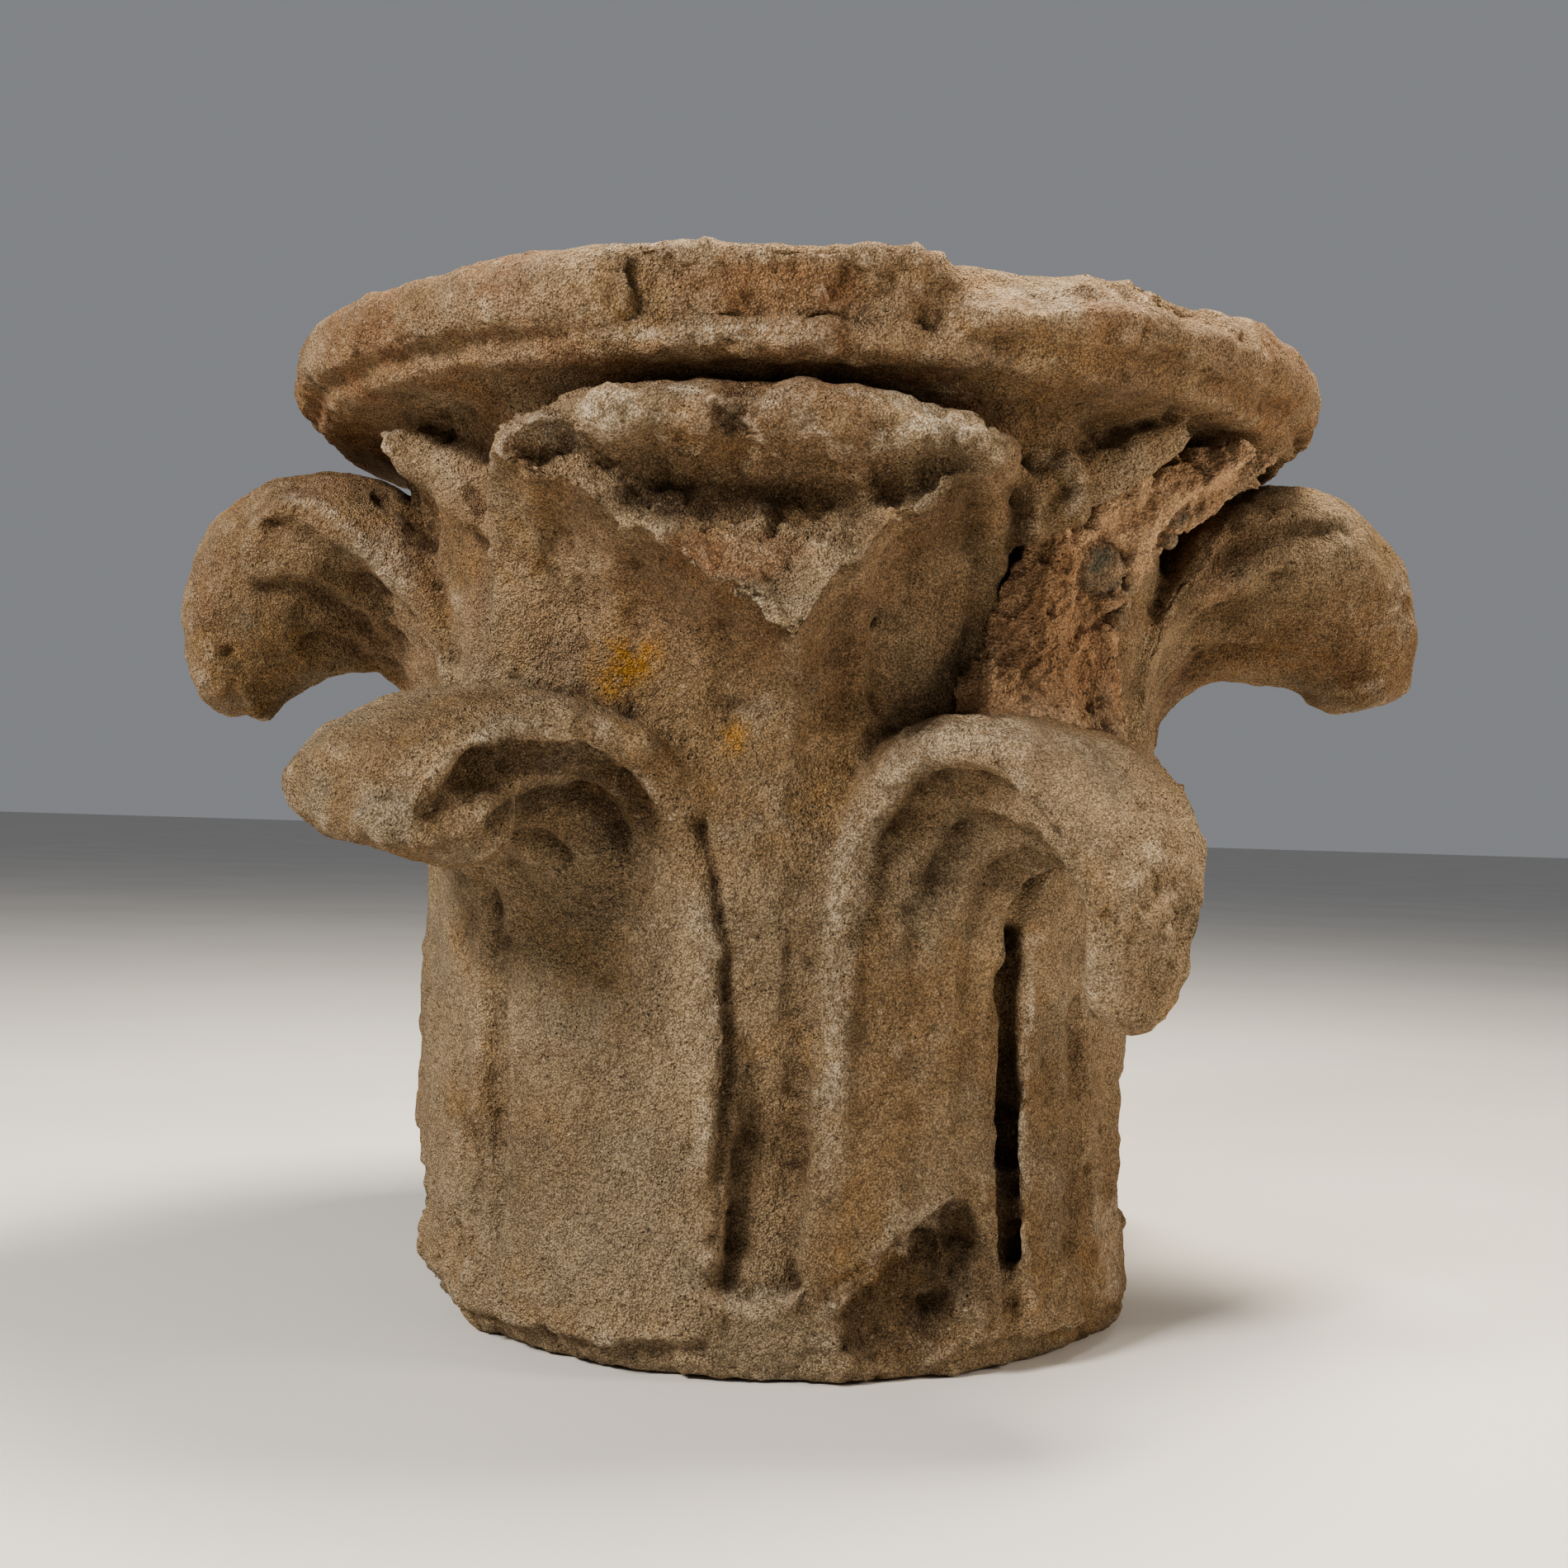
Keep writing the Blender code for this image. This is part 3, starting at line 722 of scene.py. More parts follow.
@dataclass(frozen=True)
class TurnedCore:
    """The bell, the foot and the round abacus with its broken rim."""

    height: float = 0.392
    base_radius: float = 0.1500
    base_wear: float = 0.006
    base_band: float = 0.032
    bell: float = 0.139
    recess_rise: float = 0.010
    flare_height: float = 0.1347
    abacus: float = 0.0363
    torus_outer: float = 0.2162
    torus_minor: float = 0.0171
    groove_inset: float = 0.0195
    groove_rise: float = 0.0095
    roll_inset: float = 0.0102
    roll_minor: float = 0.0056
    roll_edge_inset: float = 0.0253
    bell_top_inset: float = 0.0425
    front_break: tuple[float, float] = (-17.0, 14.0)
    front_depth: float = 0.0050
    front_lean: float = -18.0
    right_break: tuple[float, float] = (13.0, 44.0)
    right_depth: float = 0.0100
    right_end_depth: float = 0.0045
    right_lean: float = 50.0
    corner_reach: float = 0.0165

    @property
    def abacus_foot(self) -> float:
        """Height of the underside of the abacus."""
        return self.height - self.abacus

    def profile(self) -> tuple[Array, int]:
        """Radius and height down the outside, and how many of the first points belong to the abacus rim."""
        torus = np.array([self.torus_outer - self.torus_minor, self.height - self.torus_minor])
        turn = np.radians(np.linspace(90.0, -38.0, 26))
        rim = torus + self.torus_minor * np.stack([np.cos(turn), np.sin(turn)], axis=-1)
        groove_r = self.torus_outer - self.groove_inset
        groove_z = self.abacus_foot + self.groove_rise
        hollow = np.array([[groove_r + 0.0010, groove_z + 0.0016], [groove_r, groove_z], [groove_r + 0.0003, groove_z - 0.0012]])
        roll = np.array([self.torus_outer - self.roll_inset - self.roll_minor, groove_z - self.roll_minor])
        turn = np.radians(np.linspace(48.0, -78.0, 12))
        bead = roll + self.roll_minor * np.stack([np.cos(turn), np.sin(turn)], axis=-1)
        edge = np.array([[self.torus_outer - self.roll_edge_inset, self.abacus_foot - 0.0006]])
        share = np.linspace(1.0, 0.0, 40)
        top = self.torus_outer - self.bell_top_inset
        bell_top = self.abacus_foot - 0.006
        flare = np.stack(
            [self.bell + (top - self.bell) * share**2.2, bell_top - self.flare_height * (1.0 - share)], axis=-1
        )
        foot = np.array([
            [self.bell, self.base_band + self.recess_rise],
            [self.base_radius, self.base_band],
            [self.base_radius - self.base_wear * 0.15, self.base_wear * 2.6],
            [self.base_radius - self.base_wear * 0.45, self.base_wear * 1.2],
            [self.base_radius - self.base_wear, self.base_wear * 0.3],
            [self.base_radius - self.base_wear * 1.4, 0.0],
        ])
        top_bed = np.stack([np.linspace(0.004, torus[0] - 0.004, 40), np.full(40, self.height)], axis=-1)
        line = np.concatenate([top_bed, rim, hollow, bead, edge, flare, foot])
        return line, len(top_bed) + len(rim)

    @staticmethod
    def pressed(line: Array, edge: Array, lean: Array, amount: Array) -> Array:
        """Moves points that stand outside a broken plane back onto it.

        Args:
            line: radius and height of each point.
            edge: radius and height of a point of the plane.
            lean: angle of the plane's normal above level, in degrees.
            amount: share of the way, nought where there is no break.

        Returns:
            The moved points.
        """
        normal = np.stack([np.cos(np.radians(lean)), np.sin(np.radians(lean))], axis=-1)
        outside = np.sum((line - edge) * normal, axis=-1)
        return line - normal * (np.maximum(outside, 0.0) * amount)[..., None]

    def skin(self) -> tuple[Array, Array]:
        """Points and faces: the profile turned round the axis, its rim pressed onto the uneven planes of the breaks."""
        line, rim = self.profile()
        sides = 420
        bearing = np.linspace(-180.0, 180.0, sides, endpoint=False)[None, :]
        grid = np.repeat(line[:, None, :], sides, axis=1)
        angle = np.radians(bearing)
        where = np.stack(
            [grid[..., 0] * np.sin(angle), -grid[..., 0] * np.cos(angle), grid[..., 1]], axis=-1
        ).reshape(-1, 3)
        rough = 0.0030 * cloud(where, 0.020, 11, 3).reshape(grid.shape[:2])
        rough += 0.0022 * chunks(where, 0.012, 43)[0].reshape(grid.shape[:2])
        on_rim = (np.arange(len(line)) < rim)[:, None]
        window = ease(bearing, self.front_break[0] - 1.5, self.front_break[0] + 1.5)
        window = window * (1.0 - ease(bearing, self.front_break[1] - 1.5, self.front_break[1] + 1.5)) * on_rim
        edge = np.stack([self.torus_outer - self.front_depth + rough, np.full_like(rough, self.height)], axis=-1)
        grid = self.pressed(grid, edge, np.array(self.front_lean), window)
        window = ease(bearing, self.right_break[0] - 2.0, self.right_break[0] + 2.0)
        window = window * (1.0 - ease(bearing, self.right_break[1] - 2.0, self.right_break[1] + 2.0)) * on_rim
        depth = np.interp(bearing, (22.0, 31.0), (self.right_depth, self.right_end_depth))
        plane = self.torus_minor - depth + rough * 0.6
        lean = math.radians(self.right_lean)
        edge = np.stack(
            [
                self.torus_outer - self.torus_minor + plane * math.cos(lean),
                self.height - self.torus_minor + plane * math.sin(lean),
            ],
            axis=-1,
        )
        grid = self.pressed(grid, edge, np.array(self.right_lean), window)
        grid[..., 0] = np.maximum(grid[..., 0], self.corners(bearing, grid[..., 1]))
        x = grid[..., 0] * np.sin(angle)
        y = -grid[..., 0] * np.cos(angle)
        return surface_of_rings(np.stack([x, y, grid[..., 1]], axis=-1))

    def corners(self, bearing: Array, height: Array) -> Array:
        """Radius of the stone left standing between the front leaf and the side leaves, nought elsewhere.

        It rises from the lower leaves to just under the abacus, and each end eases back into the bell.
        """
        left = ease(bearing, -74.0, -66.0) * (1.0 - ease(bearing, -46.0, -36.0))
        right = ease(bearing, 30.0, 40.0) * (1.0 - ease(bearing, 66.0, 74.0))
        tall = ease(height, 0.195, 0.215) * (1.0 - ease(height, self.abacus_foot - 0.040, self.abacus_foot - 0.008))
        lean = 0.004 * ease(height, 0.25, 0.33)
        return np.where(height < self.abacus_foot, self.bell + (self.corner_reach + lean) * (left + right) * tall, 0.0)


@dataclass(frozen=True)
class Stalk:
    """A short stalk that leans on the bell between two leaves.

    Its foot and head are given by bearing, reach from the bell's wall and drop from the underside of the abacus.
    """

    foot: tuple[float, float, float]
    head: tuple[float, float, float]
    foot_half: float
    head_half: float
    thickness: float
    root_depth: float = 0.035

    def skin(self, core: TurnedCore) -> tuple[Array, Array]:
        """Points and faces: a five-cornered section carried from foot to head.

        Args:
            core: the bell that it leans on.

        Returns:
            Points and faces.
        """
        share = np.linspace(0.0, 1.0, 30)
        bearing = self.foot[0] + (self.head[0] - self.foot[0]) * share**0.8
        radius = core.bell + self.foot[1] + (self.head[1] - self.foot[1]) * share**1.4
        height = core.abacus_foot - self.foot[2] - (self.head[2] - self.foot[2]) * share
        half = self.foot_half + (self.head_half - self.foot_half) * share
        thick = self.thickness * (0.6 + 0.4 * share)
        corners = [
            (bearing, radius - self.root_depth, height - half),
            (bearing, radius + thick * 0.2, height - half),
            (bearing + 0.6, radius + thick * 0.55, height - half * 0.6),
            (bearing + 1.0, radius + thick * 0.95, height + half * 0.05),
            (bearing, radius + thick * 0.95, height + half * 0.75),
            (bearing, radius + thick * 0.5, height + half),
            (bearing, radius - self.root_depth, height + half),
        ]
        return surface_of_rings(np.stack([on_stone(*corner) for corner in corners], axis=1))


@dataclass(frozen=True)
class Lump:
    """A rounded block of stone left at a broken end: its bearing, radius, height and half sizes across, out and up."""

    bearing: float
    radius: float
    height: float
    sizes: tuple[float, float, float]
    lean: float = 0.0
    boxiness: float = 0.62

    def skin(self) -> tuple[Array, Array]:
        """Points and faces: a ball whose sines and cosines are raised to a power below one, which squares it off."""
        turn = np.linspace(-math.pi, math.pi, 48, endpoint=False)[None, :]
        climb = np.linspace(-1.53, 1.53, 31)[:, None]
        cosine, sine = np.cos(climb), np.sin(climb)
        flat = np.abs(cosine) ** self.boxiness
        across = self.sizes[0] * flat * np.sign(np.cos(turn)) * np.abs(np.cos(turn)) ** self.boxiness
        out = self.sizes[1] * flat * np.sign(np.sin(turn)) * np.abs(np.sin(turn)) ** self.boxiness
        up = self.sizes[2] * np.sign(sine) * np.abs(sine) ** self.boxiness + np.zeros_like(turn)
        lean = math.radians(self.lean)
        out, up = out * math.cos(lean) - up * math.sin(lean), out * math.sin(lean) + up * math.cos(lean)
        angle = math.radians(self.bearing)
        radius = self.radius + out
        x = radius * math.sin(angle) + across * math.cos(angle)
        y = -radius * math.cos(angle) + across * math.sin(angle)
        return surface_of_rings(np.stack([x, y, self.height + up], axis=-1))


@dataclass(frozen=True)
class Loss:
    """A rough hollow where stone has broken away: its bearing, reach from the foot's edge, height and half sizes."""

    bearing: float
    reach: float
    height: float
    sizes: tuple[float, float, float]
    phase: int

    def press(self, points: Array, base_radius: float) -> tuple[Array, Array]:
        """Pushes the points inside the hollow out to its uneven wall, away from its centre.

        Args:
            points: the surface's points.
            base_radius: radius of the foot's edge.

        Returns:
            The moved points, and how deep inside each one was.
        """
        centre = on_stone(self.bearing, base_radius + self.reach, self.height)
        angle = math.radians(self.bearing)
        turned = np.array([[math.cos(angle), math.sin(angle), 0.0], [-math.sin(angle), math.cos(angle), 0.0], [0, 0, 1.0]])
        local = (points - centre) @ turned.T / np.array(self.sizes)
        distance = np.linalg.norm(local, axis=1)
        wall = 1.0 + 0.13 * cloud(points, 0.030, self.phase, 2)
        inside = distance < wall
        scale = np.where(inside, wall / np.maximum(distance, 0.05), 1.0)
        moved = centre + (local * scale[:, None] * np.array(self.sizes)) @ turned
        return moved, ease(wall - distance, -0.10, 0.06)


@dataclass(frozen=True)
class StoneFinish:
    """Colours and grain of a stone-like finish, with the name of its material; its pale colour also serves for painted
    highlights and its darkest colour for painted shade.
    """

    name: str
    ground: tuple[float, float, float]
    shade: tuple[float, float, float]
    stain: tuple[float, float, float]
    fresh_and_highlight: tuple[float, float, float]
    grey: tuple[float, float, float]
    dirt: tuple[float, float, float]
    grain: float = 1500.0
    grain_depth: float = 1.0
    contrast: float = 0.58


class Sheet:
    """Puts nodes on one node tree and links them."""

    def __init__(self, tree: bpy.types.NodeTree) -> None:
        """Keeps the tree."""
        self.tree = tree

    def add(self, kind: str, inputs: dict[Any, Any] | None = None, **settings: Any) -> bpy.types.Node:
        """Adds a node.

        Args:
            kind: the node's type name.
            inputs: a value, or an output to link, for each named or numbered input.
            settings: properties of the node.

        Returns:
            The node.
        """
        node = self.tree.nodes.new(kind)
        for name, value in settings.items():
            setattr(node, name, value)
        for name, value in (inputs or {}).items():
            if isinstance(value, bpy.types.NodeSocket):
                self.tree.links.new(value, node.inputs[name])
            else:
                node.inputs[name].default_value = value
        return node

    def math(self, operation: str, first: Any, second: Any = 0.0, third: Any = 0.0) -> bpy.types.NodeSocket:
        """The result of arithmetic on one to three values."""
        return self.add("ShaderNodeMath", {0: first, 1: second, 2: third}, operation=operation).outputs[0]

    def span(self, value: Any, low: float, high: float, to_low: float = 0.0, to_high: float = 1.0) -> bpy.types.NodeSocket:
        """A value carried smoothly from one range to another and held at its ends."""
        inputs = {"Value": value, "From Min": low, "From Max": high, "To Min": to_low, "To Max": to_high}
        return self.add("ShaderNodeMapRange", inputs, interpolation_type="SMOOTHSTEP").outputs["Result"]

    def noise(self, place: Any, scale: float, detail: float = 2.0, rough: float = 0.5) -> bpy.types.NodeSocket:
        """A cloudy pattern of a scale in lumps per metre."""
        inputs = {"Vector": place, "Scale": scale, "Detail": detail, "Roughness": rough}
        return self.add("ShaderNodeTexNoise", inputs).outputs["Fac"]

    def mix(self, share: Any, first: Any, second: Any, blend: str = "MIX") -> bpy.types.NodeSocket:
        """Two colours mixed by a share."""
        node = self.add("ShaderNodeMix", {0: share, 6: first, 7: second}, data_type="RGBA", blend_type=blend)
        return node.outputs[2]

    def attribute(self, name: str) -> bpy.types.NodeSocket:
        """A number kept on the surface."""
        return self.add("ShaderNodeAttribute", attribute_name=name).outputs["Fac"]


class GrainGroup:
    """The shared effect of granular stone: a tone that speckles the colour, pits, and a height for the bump."""

    NAME = "stone_grain"

    @classmethod
    def tree(cls) -> bpy.types.NodeTree:
        """Builds the group once and returns it.

        The tone adds a fine cloud and a cell pattern of grains; the pits are the far ends of a coarser cell pattern,
        shown only where a wide cloud is high; the height is the tone less the pits, over a broad cloud.
        """
        if cls.NAME in bpy.data.node_groups:
            return bpy.data.node_groups[cls.NAME]
        tree = bpy.data.node_groups.new(cls.NAME, "ShaderNodeTree")
        tree.interface.new_socket("Place", in_out="INPUT", socket_type="NodeSocketVector")
        tree.interface.new_socket("Grain Scale", in_out="INPUT", socket_type="NodeSocketFloat")
        for name in ("Tone", "Pits", "Height"):
            tree.interface.new_socket(name, in_out="OUTPUT", socket_type="NodeSocketFloat")
        sheet = Sheet(tree)
        given = sheet.add("NodeGroupInput")
        place, scale = given.outputs[0], given.outputs[1]
        fine = sheet.add("ShaderNodeTexNoise", {"Vector": place, "Scale": scale, "Detail": 3.0, "Roughness": 0.62})
        coarse = sheet.math("MULTIPLY", scale, 0.33)
        middle = sheet.add("ShaderNodeTexNoise", {"Vector": place, "Scale": coarse, "Detail": 2.0, "Roughness": 0.55})
        grains = sheet.add("ShaderNodeTexVoronoi", {"Vector": place, "Scale": sheet.math("MULTIPLY", scale, 0.8)})
        grain = sheet.span(grains.outputs["Distance"], 0.1, 0.75, 1.0, 0.0)
        tone = sheet.math("MULTIPLY_ADD", fine.outputs["Fac"], 0.6, sheet.math("MULTIPLY", middle.outputs["Fac"], 0.25))
        tone = sheet.math("MULTIPLY_ADD", grain, 0.25, tone)
        holes = sheet.add("ShaderNodeTexVoronoi", {"Vector": place, "Scale": sheet.math("MULTIPLY", scale, 0.35)})
        hole = sheet.span(holes.outputs["Distance"], 0.10, 0.26, 1.0, 0.0)
        few = sheet.span(sheet.noise(place, 55.0, 2.0), 0.50, 0.62)
        pits = sheet.math("MULTIPLY", hole, few)
        broad = sheet.noise(place, 130.0, 4.0, 0.6)
        eroded = sheet.span(sheet.noise(place, 330.0, 3.0, 0.6), 0.35, 0.60)
        height = sheet.math("MULTIPLY_ADD", broad, 1.6, sheet.math("MULTIPLY_ADD", pits, -0.9, tone))
        height = sheet.math("MULTIPLY_ADD", eroded, 0.45, height)
        result = sheet.add("NodeGroupOutput")
        for number, output in enumerate((tone, pits, height)):
            tree.links.new(output, result.inputs[number])
        return tree


class StoneMaterial:
    """A material of weathered stone from a finish, the grain group and the numbers kept on the surface."""

    def __init__(self, finish: StoneFinish) -> None:
        """Keeps the finish."""
        self.finish = finish

    def build(self) -> bpy.types.Material:
        """Makes the material.

        Returns:
            The material, its colours laid over each other from the ground to the painted shade.
        """
        finish = self.finish
        material = bpy.data.materials.new(finish.name)
        material.use_nodes = True
        sheet = Sheet(material.node_tree)
        shader = material.node_tree.nodes["Principled BSDF"]
        place = sheet.add("ShaderNodeTexCoord").outputs["Object"]
        grain = sheet.add("ShaderNodeGroup", node_tree=GrainGroup.tree())
        sheet.tree.links.new(place, grain.inputs["Place"])
        grain.inputs["Grain Scale"].default_value = finish.grain
        wide = sheet.noise(place, 9.0, 4.0, 0.6)
        middle = sheet.noise(place, 34.0, 4.0, 0.6)
        small = sheet.noise(place, 120.0, 3.0, 0.6)
        colour = sheet.mix(sheet.span(wide, 0.38, 0.62), (*finish.ground, 1.0), (*finish.shade, 1.0))
        colour = sheet.mix(sheet.span(middle, 0.50, 0.72, 0.0, 0.65), colour, (*finish.grey, 1.0))
        stained = sheet.math("MULTIPLY", sheet.attribute("ochre"), sheet.span(small, 0.36, 0.62, 0.15, 1.0))
        colour = sheet.mix(stained, colour, (*finish.stain, 1.0))
        rust = sheet.math("MULTIPLY", sheet.attribute("rust"), sheet.span(middle, 0.32, 0.66, 0.25, 0.95))
        colour = sheet.mix(rust, colour, (0.235, 0.095, 0.035, 1.0))
        grey = sheet.math("MULTIPLY", sheet.attribute("grey"), sheet.span(small, 0.30, 0.70, 0.45, 1.0))
        colour = sheet.mix(grey, colour, (*finish.grey, 1.0))
        # Paler worn stone and painted highlights: the kept mask mixes towards the pale colour.
        pale = sheet.math("MULTIPLY", sheet.attribute("pale"), sheet.span(small, 0.28, 0.60, 0.30, 1.0))
        pale = sheet.math("MULTIPLY", pale, sheet.span(sheet.noise(place, 330.0, 3.0, 0.65), 0.36, 0.58, 0.25, 1.0))
        colour = sheet.mix(pale, colour, (*finish.fresh_and_highlight, 1.0))
        # Painted shade: the kept mask darkens towards the darkest colour, which also tints the lichen specks below.
        dirt = sheet.math("MULTIPLY", sheet.attribute("dirt"), sheet.span(middle, 0.2, 0.7, 0.75, 1.0))
        colour = sheet.mix(dirt, colour, (*finish.dirt, 1.0))
        low = 1.0 - finish.contrast
        speckle = sheet.span(grain.outputs["Tone"], 0.30, 0.78, low, 1.0 + finish.contrast)
        speckle = sheet.math("MULTIPLY_ADD", grain.outputs["Pits"], -0.45, speckle)
        grey_value = sheet.add("ShaderNodeCombineColor", {0: speckle, 1: speckle, 2: speckle}).outputs[0]
        colour = sheet.mix(1.0, colour, grey_value, "MULTIPLY")
        blotch = sheet.span(sheet.noise(place, 70.0, 5.0, 0.7), 0.35, 0.65, 0.87, 1.13)
        blotch_value = sheet.add("ShaderNodeCombineColor", {0: blotch, 1: blotch, 2: blotch}).outputs[0]
        colour = sheet.mix(1.0, colour, blotch_value, "MULTIPLY")
        lichen = sheet.math("MULTIPLY", sheet.span(sheet.noise(place, 420.0, 3.0, 0.7), 0.60, 0.72), 0.24)
        colour = sheet.mix(lichen, colour, (*finish.dirt, 1.0))
        crystals = sheet.math("MULTIPLY", sheet.span(sheet.noise(place, 560.0, 2.0, 0.6), 0.62, 0.74), 0.34)
        colour = sheet.mix(crystals, colour, (*finish.fresh_and_highlight, 1.0))
        sheet.tree.links.new(colour, shader.inputs["Base Color"])
        shader.inputs["Roughness"].default_value = 0.93
        shader.inputs["Specular IOR Level"].default_value = 0.25
        bump = sheet.add("ShaderNodeBump", {"Height": grain.outputs["Height"]})
        bump.inputs["Strength"].default_value = finish.grain_depth
        bump.inputs["Distance"].default_value = 0.0023
        sheet.tree.links.new(bump.outputs["Normal"], shader.inputs["Normal"])
        return material


# Paths of the carving that shows on the front, on the view's sheet, each drawn so that a step falls to its right.
LOW_LEFT_RIM_EDGE = (
    (494.0, 1035.0), (502.0, 990.0), (528.0, 948.0), (571.0, 912.0), (651.0, 893.0), (721.0, 905.0), (767.0, 938.0), (800.0, 990.0), (822.0, 1060.0),
)
LOW_LEFT_SECOND_EDGE = ((578.0, 1018.0), (605.0, 973.0), (663.0, 951.0), (721.0, 962.0), (757.0, 998.0), (770.0, 1050.0))
LOW_LEFT_THIRD_EDGE = ((596.0, 1040.0), (617.0, 1008.0), (650.0, 1001.0), (684.0, 1018.0), (700.0, 1050.0))
LOW_LEFT_FOLD_EDGE = ((609.0, 1050.0), (610.0, 1150.0), (608.0, 1300.0), (600.0, 1450.0))
LOW_LEFT_BAND = ((582.0, 1080.0), (583.0, 1200.0), (580.0, 1350.0), (573.0, 1440.0))
UPPER_LEFT_RIB = ((330.0, 602.0), (361.0, 606.0), (402.0, 624.0), (457.0, 676.0), (498.0, 734.0), (525.0, 787.0), (539.0, 836.0))
UPPER_LEFT_FIRST_EDGE = ((300.0, 640.0), (333.0, 628.0), (378.0, 638.0), (422.0, 668.0), (460.0, 712.0), (492.0, 762.0), (517.0, 814.0))
UPPER_LEFT_SECOND_EDGE = ((296.0, 716.0), (330.0, 700.0), (370.0, 702.0), (410.0, 722.0), (450.0, 760.0), (492.0, 812.0))
UPPER_LEFT_THIRD_EDGE = ((352.0, 786.0), (380.0, 770.0), (412.0, 770.0), (446.0, 792.0), (479.0, 830.0))
UPPER_LEFT_FLANK_RIB = ((455.0, 606.0), (500.0, 650.0), (545.0, 712.0), (575.0, 780.0), (590.0, 840.0))
LEFT_FIRST_PIT = ((456.0, 596.0), (466.0, 606.0), (476.0, 622.0))
LEFT_SECOND_PIT = ((482.0, 588.0), (496.0, 600.0), (510.0, 620.0))
LEFT_THIRD_PIT = ((564.0, 584.0), (574.0, 604.0), (590.0, 640.0))
UPPER_RIGHT_CROWN_EDGE = (
    (1402.0, 800.0), (1425.0, 730.0), (1462.0, 672.0), (1510.0, 640.0), (1560.0, 628.0), (1610.0, 632.0), (1650.0, 660.0),
)
UPPER_RIGHT_MIDDLE_EDGE = ((1442.0, 772.0), (1468.0, 735.0), (1500.0, 708.0), (1552.0, 688.0), (1600.0, 692.0))
UPPER_RIGHT_LOWER_EDGE = ((1408.0, 852.0), (1436.0, 806.0), (1470.0, 783.0), (1520.0, 778.0), (1570.0, 800.0))
SMALL_SCROLL = ((1236.0, 580.0), (1262.0, 553.0), (1290.0, 562.0), (1308.0, 590.0), (1300.0, 618.0), (1282.0, 610.0))
LOW_LEFT_FAR_LINE = ((562.0, 1080.0), (562.0, 1200.0), (560.0, 1310.0))
LOW_LEFT_SHADOW_LINE = ((846.0, 985.0), (868.0, 1060.0), (881.0, 1160.0), (884.0, 1260.0), (881.0, 1350.0), (870.0, 1440.0), (862.0, 1520.0))
LOW_LEFT_BORDER = ((850.0, 1060.0), (862.0, 1160.0), (864.0, 1260.0), (860.0, 1350.0), (848.0, 1450.0))
LOW_RIGHT_ROLL = (
    (1004.0, 1480.0), (1006.0, 1340.0), (1014.0, 1200.0), (1028.0, 1080.0), (1052.0, 985.0), (1092.0, 925.0),
    (1150.0, 896.0), (1215.0, 892.0), (1270.0, 915.0),
)
LOW_RIGHT_SLIT = ((1228.0, 1110.0), (1223.0, 1230.0), (1220.0, 1350.0), (1219.0, 1450.0), (1219.0, 1540.0))
LOW_RIGHT_THIN_RIDGE = ((1250.0, 1150.0), (1244.0, 1250.0), (1235.0, 1370.0), (1237.0, 1470.0), (1246.0, 1550.0))
LOW_RIGHT_FAR_GROOVE = ((1303.0, 1170.0), (1302.0, 1300.0), (1300.0, 1430.0), (1296.0, 1540.0))
GAP_FOOT_SCOOP = ((858.0, 1530.0), (880.0, 1556.0), (915.0, 1566.0), (950.0, 1554.0), (978.0, 1520.0))
GAP_FOOT_LIP = ((850.0, 1562.0), (880.0, 1582.0), (920.0, 1592.0), (962.0, 1578.0), (992.0, 1545.0))
FRONT_LEFT_RIB = ((700.0, 980.0), (694.0, 880.0), (690.0, 780.0), (690.0, 690.0))
FRONT_MIDDLE_RIB = ((938.0, 1500.0), (944.0, 1300.0), (950.0, 1100.0), (955.0, 950.0), (958.0, 830.0))
FRONT_RIGHT_RIB = ((1046.0, 960.0), (1052.0, 880.0), (1056.0, 800.0), (1058.0, 730.0))
FRONT_SHADED_RIB = ((1150.0, 860.0), (1158.0, 790.0), (1168.0, 700.0), (1180.0, 610.0))
FRONT_RIGHT_SLOT = ((1232.0, 575.0), (1238.0, 640.0), (1230.0, 720.0), (1216.0, 790.0), (1190.0, 850.0))
ABACUS_CRACK = ((738.0, 335.0), (744.0, 352.0), (741.0, 378.0))
ABACUS_LEDGE = ((690.0, 412.0), (760.0, 404.0), (850.0, 402.0), (940.0, 404.0), (1031.0, 412.0))
ABACUS_STUB = ((752.0, 378.0), (758.0, 350.0), (752.0, 322.0), (762.0, 300.0))
CURL_NOTCH = ((896.0, 465.0), (899.0, 500.0), (901.0, 545.0))
CURL_SECOND_NOTCH = ((668.0, 480.0), (676.0, 520.0), (690.0, 560.0))
FOOT_BREAK_EDGE = ((1010.0, 1645.0), (1030.0, 1585.0), (1075.0, 1540.0), (1120.0, 1500.0), (1185.0, 1462.0))
FOOT_BREAK_STEP = ((1050.0, 1650.0), (1085.0, 1590.0), (1130.0, 1550.0), (1190.0, 1520.0))


